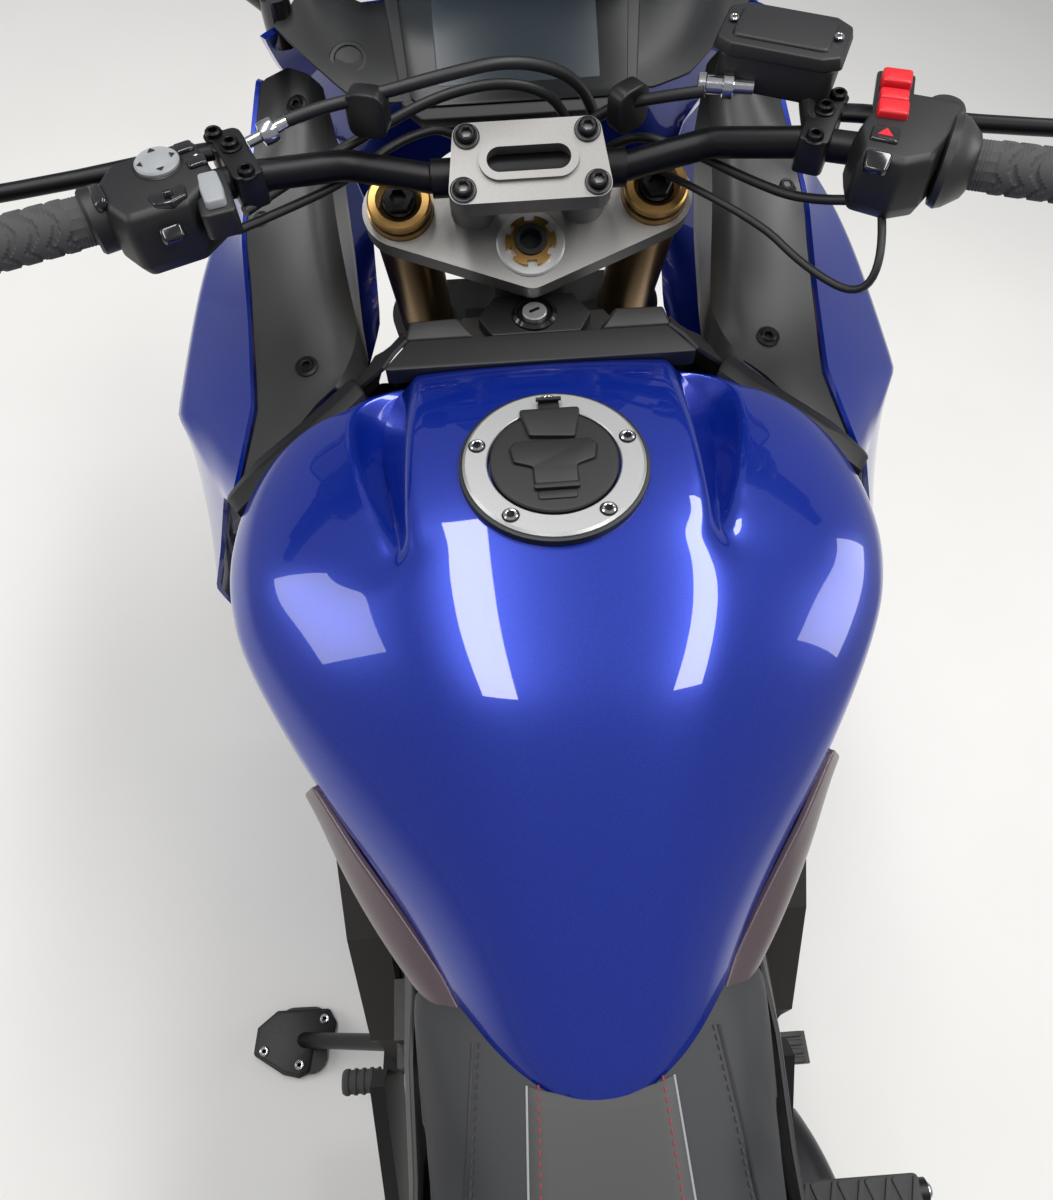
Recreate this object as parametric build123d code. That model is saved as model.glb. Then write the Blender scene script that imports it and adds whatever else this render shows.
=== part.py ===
from build123d import *
import os
from math import acos, asin, atan2, cos, degrees, radians, sin

# A sport touring motorcycle, leaning on its side stand. Lengths are in millimetres.
# It is modelled upright: X forward, Y to the rider's left, Z up, with the ground at Z = 0
# and X = 0 about half way between the axles. At the end the whole machine leans to the left
# until both tyres and the stand's foot touch the floor.

# Driving dimensions of the chassis
WHEELBASE = 1460
FRONT_X = 730
RAKE = 25
TRAIL = 100
LEAN = 11.4
STEER_ANGLE = 31
CLAMP_HEIGHT = 975
FORK_SPACING = 210
RUN_GAP = 0.3
BEARING_GAP = 0.5
MOVE_GAP = 6

# Tyres and rims: rim size 17 inches on both wheels
BEAD_R = 215.9
FRONT_SIDEWALL = 84
FRONT_TYRE_R = BEAD_R + FRONT_SIDEWALL
FRONT_TYRE_W = 120
FRONT_CROWN_R = 62
REAR_SIDEWALL = 95
REAR_TYRE_R = BEAD_R + REAR_SIDEWALL
REAR_TYRE_W = 190
REAR_CROWN_R = 105
TYRE_WALL = 9
BEAD_SEAT = 14
AXLE_R = 12.5
AXLE_BORE_R = 8
FRONT_HUB_W = 120
REAR_HUB_W = 150
FRONT_DISC_R = 155
REAR_DISC_R = 120
DISC_T = 5
DISC_HOLE_R = 3.5
FORK_TUBE_R = 27
FORK_LEG_R = 21.5
STEM_R = 17
HEADSTOCK_R = 32

# Places worked out from the driving dimensions
REAR_X = FRONT_X - WHEELBASE
TILT = radians(LEAN)
SAG = (FRONT_CROWN_R - REAR_CROWN_R) * (1 / cos(TILT) - 1)
FRONT_Z = FRONT_TYRE_R + SAG
REAR_Z = REAR_TYRE_R
LIFT = REAR_CROWN_R * (1 - cos(TILT))
SIN_RAKE = sin(radians(RAKE))
COS_RAKE = cos(radians(RAKE))
HEAD_X = FRONT_X + TRAIL - CLAMP_HEIGHT * SIN_RAKE / COS_RAKE
HALF_FORK = FORK_SPACING / 2
AXLE_DX = FRONT_X - HEAD_X
AXLE_DZ = FRONT_Z - CLAMP_HEIGHT
FORK_OFFSET = AXLE_DX * COS_RAKE + AXLE_DZ * SIN_RAKE
AXLE_DROP = AXLE_DX * SIN_RAKE - AXLE_DZ * COS_RAKE

# Steering frame: origin on the steering axis at the fork caps, Z up along the axis
STEERING = Location((HEAD_X, 0, CLAMP_HEIGHT), (0, -RAKE, 0))

# How a cylinder stands on its own base
STANDING = (Align.CENTER, Align.CENTER, Align.MIN)


def steer_point(x, y, z):
    """Machine coordinates of a point that is given in the steering frame."""
    return (HEAD_X + x * COS_RAKE - z * SIN_RAKE, y, CLAMP_HEIGHT + x * SIN_RAKE + z * COS_RAKE)


def block(x0, x1, y0, y1, z0, z1):
    """A box between two corners."""
    return Pos((x0 + x1) / 2, (y0 + y1) / 2, (z0 + z1) / 2) * Box(x1 - x0, y1 - y0, z1 - z0)


def side_plate(points, y0, y1):
    """A plate cut to an outline of (x, z) points, standing between two planes of Y."""
    face = make_face(Plane.XZ * Polyline(*points, close=True))
    return Pos(0, y1, 0) * extrude(face, y1 - y0, dir=(0, -1, 0))


def rod(points, radius, bend=None):
    """A round bar along straight runs that are joined by tangent arcs."""
    if len(points) == 2:
        path = Line(*points)
    else:
        path = FilletPolyline(*points, radius=bend)
    return sweep(Plane(origin=path @ 0, z_dir=path % 0) * Circle(radius), path=path)


def ring(outer, inner, width):
    """A flat ring about the Y axis, centred on its width."""
    return turned(outer, width) - turned(inner, width + 2)


def turned(radius, width):
    """A cylinder along the Y axis, centred on its width."""
    return Rot(90, 0, 0) * Cylinder(radius, width)


def both_sides(shape):
    """A piece for the left side and its mirror image for the right side."""
    return [shape, mirror(shape, about=Plane.XZ)]


def faceted_panel(rows, shift):
    """A sheet of flat facets over a grid of points, made solid by a straight shift."""
    step = Vector(*shift)
    grid = [[Vector(*point) for point in row] for row in rows]
    faces = []
    for low, high in zip(grid, grid[1:]):
        for a, b, c, d in zip(low, low[1:], high[1:], high):
            for corners in ((a, b, c), (a, c, d)):
                faces.append(Face(Wire.make_polygon(corners)))
                faces.append(Face(Wire.make_polygon([p + step for p in corners])))
    border = grid[0] + [row[-1] for row in grid[1:]]
    border += grid[-1][-2::-1] + [row[0] for row in grid[-2:0:-1]]
    for a, b in zip(border, border[1:] + border[:1]):
        faces.append(Face(Wire.make_polygon([a, b, b + step, a + step])))
    return Solid(Shell(faces))


def mirrored_panel(rows, shift):
    """A faceted sheet whose rows end on the middle plane, joined to its mirror image."""
    half = faceted_panel(rows, shift)
    return half + mirror(half, about=Plane.XZ)


nodes = {}


def add(name, *shapes):
    """Keep one named piece, made of one or more solids."""
    solids = []
    for shape in shapes:
        for item in shape if isinstance(shape, list) else [shape]:
            solids += item.solids()
    nodes[name] = Compound(solids) if len(solids) > 1 else solids[0]


# Wheels
def tyre(radius, width, crown, bead_half):
    """A tyre about the Y axis: crown arc, side walls, and a hollow inside."""
    shoulder_y = width / 2
    shoulder_r = radius - crown * 0.62
    sections = []
    for wall in (0, TYRE_WALL):
        tread = ThreePointArc(
            (shoulder_r, -shoulder_y + wall), (radius - wall, 0), (shoulder_r, shoulder_y - wall)
        )
        foot_l = (BEAD_R + BEAD_SEAT, bead_half - wall)
        foot_r = (BEAD_R + BEAD_SEAT, -bead_half + wall)
        base = Polyline(foot_l, (BEAD_R, bead_half - wall), (BEAD_R, -bead_half + wall), foot_r)
        sections.append(make_face([tread, Line(tread @ 1, foot_l), base, Line(foot_r, tread @ 0)]))
    return revolve(sections[0] - sections[1], Axis.Y)


def rim(bead_half, hub_half, hub_r, spokes, spoke_w, spoke_t):
    """A cast rim about the Y axis: barrel, hub, and pairs of straight spokes."""
    lip = 12
    well = 24
    wall = 6
    barrel = make_face(
        Polyline(
            (BEAD_R - RUN_GAP, -bead_half - RUN_GAP),
            (BEAD_R + lip, -bead_half - RUN_GAP),
            (BEAD_R + lip, -bead_half - wall),
            (BEAD_R - wall, -bead_half - wall),
            (BEAD_R - well - wall, -bead_half / 2),
            (BEAD_R - well - wall, bead_half / 2),
            (BEAD_R - wall, bead_half + wall),
            (BEAD_R + lip, bead_half + wall),
            (BEAD_R + lip, bead_half + RUN_GAP),
            (BEAD_R - RUN_GAP, bead_half + RUN_GAP),
            (BEAD_R - well, bead_half / 2),
            (BEAD_R - well, -bead_half / 2),
            close=True,
        )
    )
    body = revolve(barrel, Axis.Y)
    body += Rot(90, 0, 0) * Cylinder(hub_r, 2 * hub_half)
    reach = BEAD_R - well - wall / 2
    for turn in range(spokes):
        for side in (-1, 1):
            foot = side * hub_r * 0.55
            tip = side * reach * 0.19
            blade = side_plate(
                [
                    (hub_r * 0.7, foot - spoke_w / 2),
                    (reach, tip - spoke_w * 0.36),
                    (reach, tip + spoke_w * 0.36),
                    (hub_r * 0.7, foot + spoke_w / 2),
                ],
                -spoke_t / 2,
                spoke_t / 2,
            )
            body += Rot(0, turn * 360 / spokes, 0) * blade
    return body - Rot(90, 0, 0) * Cylinder(AXLE_R + RUN_GAP, 2 * hub_half + 2)


def brake_disc(outer, hub_r, arms):
    """A brake disc about the Y axis: band with slots and arms to its carrier ring."""
    band = outer * 0.2
    disc = ring(outer, outer - band, DISC_T) + ring(hub_r + 8, hub_r - 14, DISC_T)
    arm_length = outer - band - hub_r + 2
    for turn in range(arms):
        arm = Pos(hub_r + 6 + arm_length / 2, 0, 0) * Box(arm_length, DISC_T, 16)
        disc += Rot(0, turn * 360 / arms, 0) * arm
    for turn in range(3 * arms):
        for share, lead in ((0.28, 0), (0.72, 60 / arms)):
            hole = Pos(outer - band * share, 0, 0) * turned(DISC_HOLE_R, DISC_T + 2)
            disc -= Rot(0, lead + turn * 120 / arms, 0) * hole
    return disc


front_wheel_place = Pos(FRONT_X, 0, FRONT_Z)
rear_wheel_place = Pos(REAR_X, 0, REAR_Z)
FRONT_BEAD_HALF = 44
REAR_BEAD_HALF = 76
HUB_R = 34
add("front_tyre", front_wheel_place * tyre(FRONT_TYRE_R, FRONT_TYRE_W, FRONT_CROWN_R, FRONT_BEAD_HALF))
add("front_rim", front_wheel_place * rim(FRONT_BEAD_HALF, FRONT_HUB_W / 2, HUB_R, 6, 20, 26))
front_disc_y = FRONT_HUB_W / 2 + DISC_T / 2
front_disc = brake_disc(FRONT_DISC_R, 40, 8)
add("front_discs", [front_wheel_place * Pos(0, side * front_disc_y, 0) * front_disc for side in (-1, 1)])
add("rear_tyre", rear_wheel_place * tyre(REAR_TYRE_R, REAR_TYRE_W, REAR_CROWN_R, REAR_BEAD_HALF))
add("rear_rim", rear_wheel_place * rim(REAR_BEAD_HALF, REAR_HUB_W / 2, HUB_R + 6, 6, 24, 34))
rear_disc_y = REAR_HUB_W / 2 + DISC_T / 2
SPROCKET_R = 112
CHAIN_HALF = 8
CHAIN_Y = REAR_TYRE_W / 2 + MOVE_GAP + CHAIN_HALF + 1
sprocket = ring(SPROCKET_R - 6, 48, 7)
for turn in range(44):
    sprocket += Rot(0, turn * 360 / 44, 0) * (Pos(SPROCKET_R - 5, 0, 0) * Box(10, 7, 6))
carrier = ring(58, AXLE_R + RUN_GAP, CHAIN_Y - REAR_HUB_W / 2 - 3.5)
carrier_y = (CHAIN_Y - 3.5 + REAR_HUB_W / 2) / 2
add("rear_sprocket", rear_wheel_place * (Pos(0, CHAIN_Y, 0) * sprocket + Pos(0, carrier_y, 0) * carrier))
add("rear_disc", rear_wheel_place * Pos(0, -rear_disc_y, 0) * brake_disc(REAR_DISC_R, 42, 6))

# Fork, clamps and stem
LOWER_CLAMP_Z = -232
CLAMP_T = 20
TOP_CLAMP_Z = -8
OUTER_TUBE_END = -500
LEG_TOP = -495
fork_pair = [(FORK_OFFSET, side * HALF_FORK) for side in (1, -1)]
tube_length = -OUTER_TUBE_END
outer_tube = Cylinder(FORK_TUBE_R, tube_length, align=(Align.CENTER, Align.CENTER, Align.MAX))
wiper = Pos(0, 0, OUTER_TUBE_END) * Cylinder(FORK_TUBE_R + 3, 26, align=STANDING)
leg_bore = Pos(0, 0, OUTER_TUBE_END - 1) * Cylinder(FORK_LEG_R + RUN_GAP, 30, align=STANDING)
add("fork_tubes", [STEERING * Pos(x, y, -2) * (outer_tube + wiper - leg_bore) for x, y in fork_pair])

cap = Cylinder(FORK_TUBE_R - 3, 6, align=STANDING)
cap += Pos(0, 0, 6) * extrude(RegularPolygon(15, 6), 6)
cap += Pos(0, 0, 12) * Cylinder(8, 8, align=STANDING)
add("fork_caps", [STEERING * Pos(x, y, -2) * cap for x, y in fork_pair])

leg_end = -AXLE_DROP
legs = []
for x, y in fork_pair:
    side = 1 if y > 0 else -1
    leg = Pos(0, 0, leg_end + 30) * Cylinder(
        FORK_LEG_R, LEG_TOP - leg_end - 30, align=STANDING
    )
    leg += Pos(0, 0, leg_end + 24) * Cylinder(FORK_LEG_R + 7, 62, align=STANDING)
    leg += Pos(0, 0, leg_end) * (Rot(90, 0, 0) * Cylinder(27, 50))
    leg += Pos(-60, side * (102 - HALF_FORK), leg_end + 84) * Box(70, 12, 90)
    leg += Pos(-10, side * (102 - HALF_FORK), leg_end + 60) * Box(60, 12, 40)
    leg += Pos(0, side * (78 - HALF_FORK), leg_end + 160) * Box(22, 7, 192)
    leg -= Pos(0, 0, leg_end) * (Rot(90, 0, 0) * Cylinder(AXLE_R + RUN_GAP, 60))
    legs.append(STEERING * Pos(x, y, 0) * leg)
add("fork_legs", legs)

axle_length = FORK_SPACING + 56
front_axle = Cylinder(AXLE_R, axle_length) - Cylinder(AXLE_BORE_R, axle_length + 2)
add("front_axle", front_wheel_place * (Rot(90, 0, 0) * front_axle))


def clamp_plate(thickness, tip_x, tip_r, lobe_r):
    """A fork clamp: two lobes and a rounded tip behind the stem, bored for the tubes."""
    lobes = [Pos(x, y) * Circle(lobe_r) for x, y in fork_pair]
    tip = Pos(tip_x, 0) * Circle(tip_r)
    edges = lobes[0].edges() + lobes[1].edges() + tip.edges()
    plate = extrude(make_face(make_hull(edges)), thickness, dir=(0, 0, -1))
    for x, y in fork_pair:
        plate -= Pos(x, y, -thickness / 2) * Cylinder(FORK_TUBE_R + RUN_GAP, thickness + 2)
    return plate


RECESS_T = 2
NUT_R = 21
RISER_X = 33
RISER_Y = 45
BAR_Z = 42
BAR_R = 14.3
BAR_THIN_R = 11.1
riser = Cylinder(19, BAR_Z - TOP_CLAMP_Z - 1, align=STANDING)
CLAMP_LOBE_R = 32
top_clamp = clamp_plate(CLAMP_T, -20, 18, CLAMP_LOBE_R)
for side in (1, -1):
    top_clamp += Pos(RISER_X, side * RISER_Y, 0) * riser
    groove = Pos(RISER_X, side * RISER_Y, BAR_Z - TOP_CLAMP_Z) * turned(BAR_R + RUN_GAP, 50)
    top_clamp -= groove
top_clamp -= Pos(0, 0, -RECESS_T) * Cylinder(NUT_R + 6, 20, align=STANDING)
top_clamp -= Cylinder(STEM_R + RUN_GAP, 90)
add("top_clamp", STEERING * Pos(0, 0, TOP_CLAMP_Z) * top_clamp)

lower_clamp = Pos(0, 0, LOWER_CLAMP_Z) * clamp_plate(34, -14, 24, 36)
NUT_T = 8
NUT_Z = TOP_CLAMP_Z - RECESS_T + RUN_GAP
STEM_TOP_R = 13
stem_length = NUT_Z - RUN_GAP - LOWER_CLAMP_Z
stem_reach = stem_length + NUT_T + 3
lower_clamp += Pos(0, 0, LOWER_CLAMP_Z) * Cylinder(STEM_R, stem_length, align=STANDING)
lower_clamp += Pos(0, 0, LOWER_CLAMP_Z) * Cylinder(STEM_TOP_R, stem_reach, align=STANDING)
lower_clamp -= Pos(0, 0, LOWER_CLAMP_Z + stem_reach) * Cylinder(STEM_TOP_R - 4, 24)
add("lower_clamp", STEERING * lower_clamp)
stem_nut = Cylinder(NUT_R, NUT_T, align=STANDING)
stem_nut -= Cylinder(STEM_TOP_R + RUN_GAP, 40)
for turn in range(6):
    stem_nut -= Rot(0, 0, turn * 60) * (Pos(NUT_R, 0, NUT_T) * Box(9, 8, 8))
add("stem_nut", STEERING * Pos(0, 0, NUT_Z) * stem_nut)

# Handlebar, in machine coordinates with the steering straight ahead
bar_middle = steer_point(RISER_X, 0, BAR_Z)
# Columns: how far each corner of the left half is ahead of the clamp, left of it and above it
BAR_CORNERS = [
    (0, 74, 0),
    (-3.5, 138, 19),
    (-35.5, 200, 37),
    (-132.5, 412, 55),
]
bar_left = [Vector(*bar_middle) + Vector(*point) for point in BAR_CORNERS]
bar_right = [Vector(point.X, -point.Y, point.Z) for point in bar_left]


def bar_core(radius):
    """The bent bar, or what clears it, with a given radius."""
    return rod(bar_right[::-1] + bar_left, radius, 40)


bar = bar_core(BAR_THIN_R)
middle_bar = Pos(*bar_middle) * (Rot(90, 0, 0) * Cylinder(BAR_R, 150))
add("handlebar", bar + middle_bar)
bar_space = bar_core(BAR_THIN_R + RUN_GAP)
GRIP_START = 0.47
grip_a = bar_left[2] + (bar_left[3] - bar_left[2]) * GRIP_START
bar_run = bar_left[3] - bar_left[2]
bar_turn = degrees(atan2(-bar_run.X, bar_run.Y))
grip_plane = Plane(origin=grip_a, z_dir=bar_run.normalized())
grip_length = bar_run.length * (1 - GRIP_START) + 4
grip_shape = Circle(16.5) - Circle(BAR_THIN_R + RUN_GAP)
grip = extrude(grip_plane * grip_shape, grip_length)
add("grips", both_sides(grip))

# Bar clamp with its long window
clamp_corners = [(12, 51), (54, 46), (54, -46), (12, -51)]
clamp_pads = [Pos(x, y) * Circle(11) for x, y in clamp_corners]
pad_edges = clamp_pads[0].edges()
for pad in clamp_pads[1:]:
    pad_edges += pad.edges()
CAP_T = 19
RIM_T = 3
clamp_cap = extrude(make_face(make_hull(pad_edges)), CAP_T, dir=(0, 0, 1))
window = Pos(RISER_X, 0) * SlotOverall(64, 20, rotation=90)
clamp_cap += extrude(Pos(RISER_X, 0) * SlotOverall(76, 32, rotation=90), CAP_T + RIM_T)
for x, y in clamp_corners:
    clamp_cap += Pos(x, y, CAP_T) * Cylinder(9, RIM_T / 2, align=STANDING)
clamp_cap -= extrude(window, 40)
clamp_cap -= Pos(RISER_X, 0, 0) * (Rot(90, 0, 0) * Cylinder(BAR_R + RUN_GAP, 140))
add("bar_clamp", STEERING * Pos(0, 0, BAR_Z) * clamp_cap)


def bar_frame(distance):
    """A place on the left bar's straight part: X forward, Y out along the bar, Z up."""
    at = bar_left[2] + bar_run.normalized() * distance
    return Location((at.X, at.Y, at.Z), (0, 0, bar_turn))


SWITCH_BEVEL = 6


def bevelled(length, width, height, bevel):
    """A box whose upper and upright edges are bevelled."""
    body = Box(length, width, height)
    return chamfer(body.edges() - body.faces().sort_by(Axis.Z)[0].edges(), bevel)


left_box = bar_frame(62) * (Pos(-5, 0, -2) * bevelled(58, 88, 46, SWITCH_BEVEL)) - bar_space
right_box = bar_frame(62) * (Pos(-4, -4, 2) * bevelled(56, 76, 50, SWITCH_BEVEL)) - bar_space
add("switch_boxes", left_box, mirror(right_box, about=Plane.XZ))

PERCH_H = 26
perch = bar_frame(6) * (Pos(17, 0, 0) * Box(46, 22, PERCH_H)) - bar_space
# Columns: distance out along the bar, distance ahead of it, height
LEVER_POINTS = [(-2, 32, 0), (70, 38, 0), (150, 46, 0), (222, 56, -2)]
lever_run = [(bar_frame(out) * Pos(ahead, 0, up)).position for out, ahead, up in LEVER_POINTS]
lever = rod(lever_run, 7, 30)
add("hand_levers", both_sides(perch + lever))
reservoir_z = bar_frame(6).position.Z + PERCH_H / 2 + RUN_GAP
reservoir = Pos(0, 0, 17) * bevelled(54, 88, 34, 5)
reservoir_place = Location((bar_left[2].X + 62, 188, reservoir_z), (0, 0, 20))
add("brake_reservoir", mirror(reservoir_place * reservoir, about=Plane.XZ))
# Columns: ahead of the bar clamp, left of the middle, above the bar clamp
CLUTCH_RUN = [
    (-11, 203.6, 38.4),
    (17, 162, 55),
    (37, 100, 63),
    (47, 30, 57),
    (56, -24, 26),
]
cable_run = [Vector(*bar_middle) + Vector(*point) for point in CLUTCH_RUN]
cable_end_x = FORK_OFFSET + CLAMP_LOBE_R + 2 * RUN_GAP
cable_run += [Vector(*steer_point(cable_end_x + 44, -54, -24)), Vector(*steer_point(cable_end_x, -57, -18))]
add("control_cables", rod(cable_run, 4, 22))

# Calipers and front fender
CALIPER_OUT_Y = 95.7
calipers = []
for side in (1, -1):
    body = Pos(FORK_OFFSET - 84, side * (CALIPER_OUT_Y - 29), leg_end + 92) * Box(50, 58, 100)
    swept = Pos(0, side * front_disc_y, 0) * ring(FRONT_DISC_R + 6, 40, DISC_T + 10)
    calipers.append(STEERING * body - front_wheel_place * swept)
add("front_calipers", calipers)
FENDER_FRONT = 35
FENDER_REAR = 128
fender_profile = make_face(
    [
        ThreePointArc((FRONT_TYRE_R + 16, -66), (FRONT_TYRE_R + 30, 0), (FRONT_TYRE_R + 16, 66)),
        Line((FRONT_TYRE_R + 16, 66), (FRONT_TYRE_R - 50, 74)),
        Line((FRONT_TYRE_R - 50, 74), (FRONT_TYRE_R - 50, 70)),
        Line((FRONT_TYRE_R - 50, 70), (FRONT_TYRE_R + 12, 62)),
        ThreePointArc((FRONT_TYRE_R + 12, 62), (FRONT_TYRE_R + 26, 0), (FRONT_TYRE_R + 12, -62)),
        Line((FRONT_TYRE_R + 12, -62), (FRONT_TYRE_R - 50, -70)),
        Line((FRONT_TYRE_R - 50, -70), (FRONT_TYRE_R - 50, -74)),
        Line((FRONT_TYRE_R - 50, -74), (FRONT_TYRE_R + 16, -66)),
    ]
)
fender = Rot(0, -FENDER_REAR, 0) * revolve(fender_profile, Axis.Y, FENDER_REAR - FENDER_FRONT)
add("front_fender", front_wheel_place * fender)


# Frame, swingarm and tail rails
HEAD_MID_X, _, HEAD_MID_Z = steer_point(0, 0, (TOP_CLAMP_Z + LOWER_CLAMP_Z) / 2)
# Columns: X, inner Y, outer Y, lower Z, upper Z
SPAR_SECTIONS = [
    (HEAD_MID_X - 57, 20, 62, HEAD_MID_Z - 64, HEAD_MID_Z + 34),
    (HEAD_MID_X - 117, 74, 114, HEAD_MID_Z - 80, HEAD_MID_Z + 20),
    (190, 142, 180, 742, 852),
    (40, 164, 200, 680, 780),
    (-110, 156, 190, 560, 690),
    (-178, 154, 184, 440, 600),
]


def spar(grow):
    """The left frame spar from the headstock to the swingarm pivot."""
    faces = []
    for x, y_in, y_out, z_low, z_high in SPAR_SECTIONS:
        outline = [
            (x, y_in - grow, z_low - grow),
            (x, y_out + grow, z_low - grow),
            (x, y_out + grow, z_high + grow),
            (x, y_in - grow, z_high + grow),
        ]
        faces.append(make_face(Polyline(*outline, close=True)))
    return loft(faces, ruled=True)


HANGER_Y = 146
PIVOT_X = -150
PIVOT_Z = 400
PIVOT_PLATE_Y = 154
CROSS_TUBE_LOW = 614
ARM_BRIDGE_TOP = 374
STAND_PIVOT = (-152, 190, 262)
FOOT_X = -122
FOOT_Y = 362
FOOT_Z = 84
FOOT_T = 12
STAND_R = 10
STAND_EYE_T = 22
stand_pivot = Vector(*STAND_PIVOT)
stand_down = (Vector(FOOT_X, FOOT_Y, FOOT_Z) - stand_pivot).normalized()
stand_folded = Vector(-1, 0.04, -0.03).normalized()
stand_axis = stand_down.cross(stand_folded).normalized()
stand_place = Plane(origin=stand_pivot, z_dir=stand_axis).location
STAND_AXIS = Axis(stand_pivot, stand_axis)
STAND_SWING = degrees(acos(stand_down.dot(stand_folded)))
headstock_top = TOP_CLAMP_Z - CLAMP_T - BEARING_GAP
headstock_length = headstock_top - LOWER_CLAMP_Z - BEARING_GAP
headstock_place = Pos(0, 0, headstock_top - headstock_length / 2)
stem_space = headstock_place * Cylinder(STEM_R + BEARING_GAP, headstock_length + 60)
headstock = headstock_place * Cylinder(HEADSTOCK_R, headstock_length) - stem_space
PIVOT_PLATE_T = 24
pivot_plate_outline = [(-100, 640), (-178, 600), (-196, 440), (-178, 330), (-120, 290), (-96, 420)]
pivot_plate = side_plate(pivot_plate_outline, PIVOT_PLATE_Y, PIVOT_PLATE_Y + PIVOT_PLATE_T)
HEAD_BLOCK_LOW = HEAD_MID_Z - 66
HEAD_BLOCK_UP = 14
frame_body = STEERING * headstock
hanger = block(170, 210, HANGER_Y, HANGER_Y + 10, 696, 770)
for half in both_sides(spar(0) + pivot_plate + hanger):
    frame_body += half
head_block = block(HEAD_MID_X - 124, HEAD_MID_X - 24, -60, 60, HEAD_BLOCK_LOW, HEAD_MID_Z + HEAD_BLOCK_UP)
frame_body += head_block - STEERING * stem_space
frame_body += block(-204, -150, -156, 156, CROSS_TUBE_LOW, CROSS_TUBE_LOW + 24)
frame_body += block(-182, -122, PIVOT_PLATE_Y, PIVOT_PLATE_Y + PIVOT_PLATE_T, 240, 320)
frame_body -= stand_place * Cylinder(25, STAND_EYE_T + 2 * RUN_GAP)
bracket_z = (STAND_EYE_T + 8) / 2 + RUN_GAP
frame_body += stand_place * Pos(0, 0, -bracket_z - 3) * Cylinder(22, 14)
frame_body += stand_place * Cylinder(7, STAND_EYE_T + 20)
frame_body += stand_place * Pos(0, 0, bracket_z) * Cylinder(12, 8)
add("main_frame", frame_body)

ARM_IN_Y = CHAIN_Y + CHAIN_HALF + 5
# Columns: X, outer Y, lower Z, upper Z
ARM_SECTIONS = [
    (-128, PIVOT_PLATE_Y - 3, 372, 428),
    (-300, PIVOT_PLATE_Y - 1, 330, 440),
    (REAR_X + 170, ARM_IN_Y + 28, REAR_Z - 21, REAR_Z + 69),
    (REAR_X - 60, ARM_IN_Y + 26, REAR_Z - 29, REAR_Z + 27),
]
arm_faces = []
for x, y_out, z_low, z_high in ARM_SECTIONS:
    corners = [(x, ARM_IN_Y, z_low), (x, y_out, z_low), (x, y_out, z_high), (x, ARM_IN_Y, z_high)]
    arm_faces.append(make_face(Polyline(*corners, close=True)))
arm = loft(arm_faces, ruled=True)
swingarm = block(-262, -215, -ARM_IN_Y - 2, ARM_IN_Y + 2, 330, ARM_BRIDGE_TOP)
swingarm += Pos(PIVOT_X, 0, PIVOT_Z) * (Rot(90, 0, 0) * Cylinder(20, 2 * PIVOT_PLATE_Y - 1))
for half in both_sides(arm):
    swingarm += half
swingarm -= rear_wheel_place * (Rot(90, 0, 0) * Cylinder(AXLE_R + RUN_GAP, 300))
add("swingarm", swingarm)

SPACER_R = 19
rear_axle_length = 2 * ARM_IN_Y + 74
rear_axle = Cylinder(AXLE_R, rear_axle_length)
right_spacer = ARM_IN_Y - REAR_HUB_W / 2 - 2
rear_axle += Pos(0, 0, -(ARM_IN_Y + CHAIN_Y + 5) / 2) * Cylinder(SPACER_R, ARM_IN_Y - CHAIN_Y - 6)
rear_axle += Pos(0, 0, ARM_IN_Y - (right_spacer + 1) / 2) * Cylinder(SPACER_R, right_spacer)
rear_axle -= Cylinder(AXLE_BORE_R, rear_axle_length + 2)
add("rear_axle", rear_wheel_place * (Rot(90, 0, 0) * rear_axle))

# Chain: one closed loop round both sprockets, its side plates astride the rear teeth
FRONT_SPROCKET_X = -70
FRONT_SPROCKET_Z = 388
FRONT_SPROCKET_R = 42


def chain_band(out, inside):
    """A band round both sprockets between two offsets from their radii."""
    loops = []
    for offset in (out, inside):
        circles = [
            Pos(REAR_X, REAR_Z) * Circle(SPROCKET_R + offset),
            Pos(FRONT_SPROCKET_X, FRONT_SPROCKET_Z) * Circle(FRONT_SPROCKET_R + offset),
        ]
        loops.append(make_face(make_hull(circles[0].edges() + circles[1].edges())))
    return loops[0] - loops[1]


SPROCKET_HALF = 3.5
LINK_T = 1.2
chain = extrude(Plane.XZ * chain_band(9, 1), CHAIN_HALF, both=True)
chain += extrude(Plane.XZ * chain_band(9, -7), CHAIN_HALF, both=True) - extrude(
    Plane.XZ * chain_band(9.5, -8), SPROCKET_HALF + 0.8, both=True
)
# Outer link plates along both straight runs and round the rear sprocket, fused to the band
LINK_PITCH = 31.75
LINK_R = SPROCKET_R + 1
link_plate = extrude(Plane.XZ * RectangleRounded(LINK_PITCH - 5, 15, 5), CHAIN_HALF + LINK_T, both=True)
link_plate -= Box(60, 2 * CHAIN_HALF - 2, 60)
run_lean = asin((LINK_R - FRONT_SPROCKET_R - 1) / (FRONT_SPROCKET_X - REAR_X))
run_turn = degrees(atan2(FRONT_SPROCKET_Z - REAR_Z, FRONT_SPROCKET_X - REAR_X))
run_length = ((FRONT_SPROCKET_X - REAR_X) ** 2 + (FRONT_SPROCKET_Z - REAR_Z) ** 2) ** 0.5
run_length *= cos(run_lean)
run_links = int(run_length / LINK_PITCH)
links = []
for side in (1, -1):
    run_place = Pos(REAR_X, 0, REAR_Z) * Rot(0, -run_turn + side * degrees(run_lean), 0)
    for count in range(run_links):
        links.append(run_place * Pos((count + 0.5) * LINK_PITCH, 0, side * LINK_R) * link_plate)
wrap = 180 + 2 * degrees(run_lean)
wrap_links = int(radians(wrap) * LINK_R / LINK_PITCH)
for count in range(wrap_links):
    turn = degrees(run_lean) - run_turn - (count + 0.5) * wrap / wrap_links
    links.append(Pos(REAR_X, 0, REAR_Z) * Rot(0, turn, 0) * Pos(0, 0, LINK_R) * link_plate)
for link in links:
    chain += link
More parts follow.
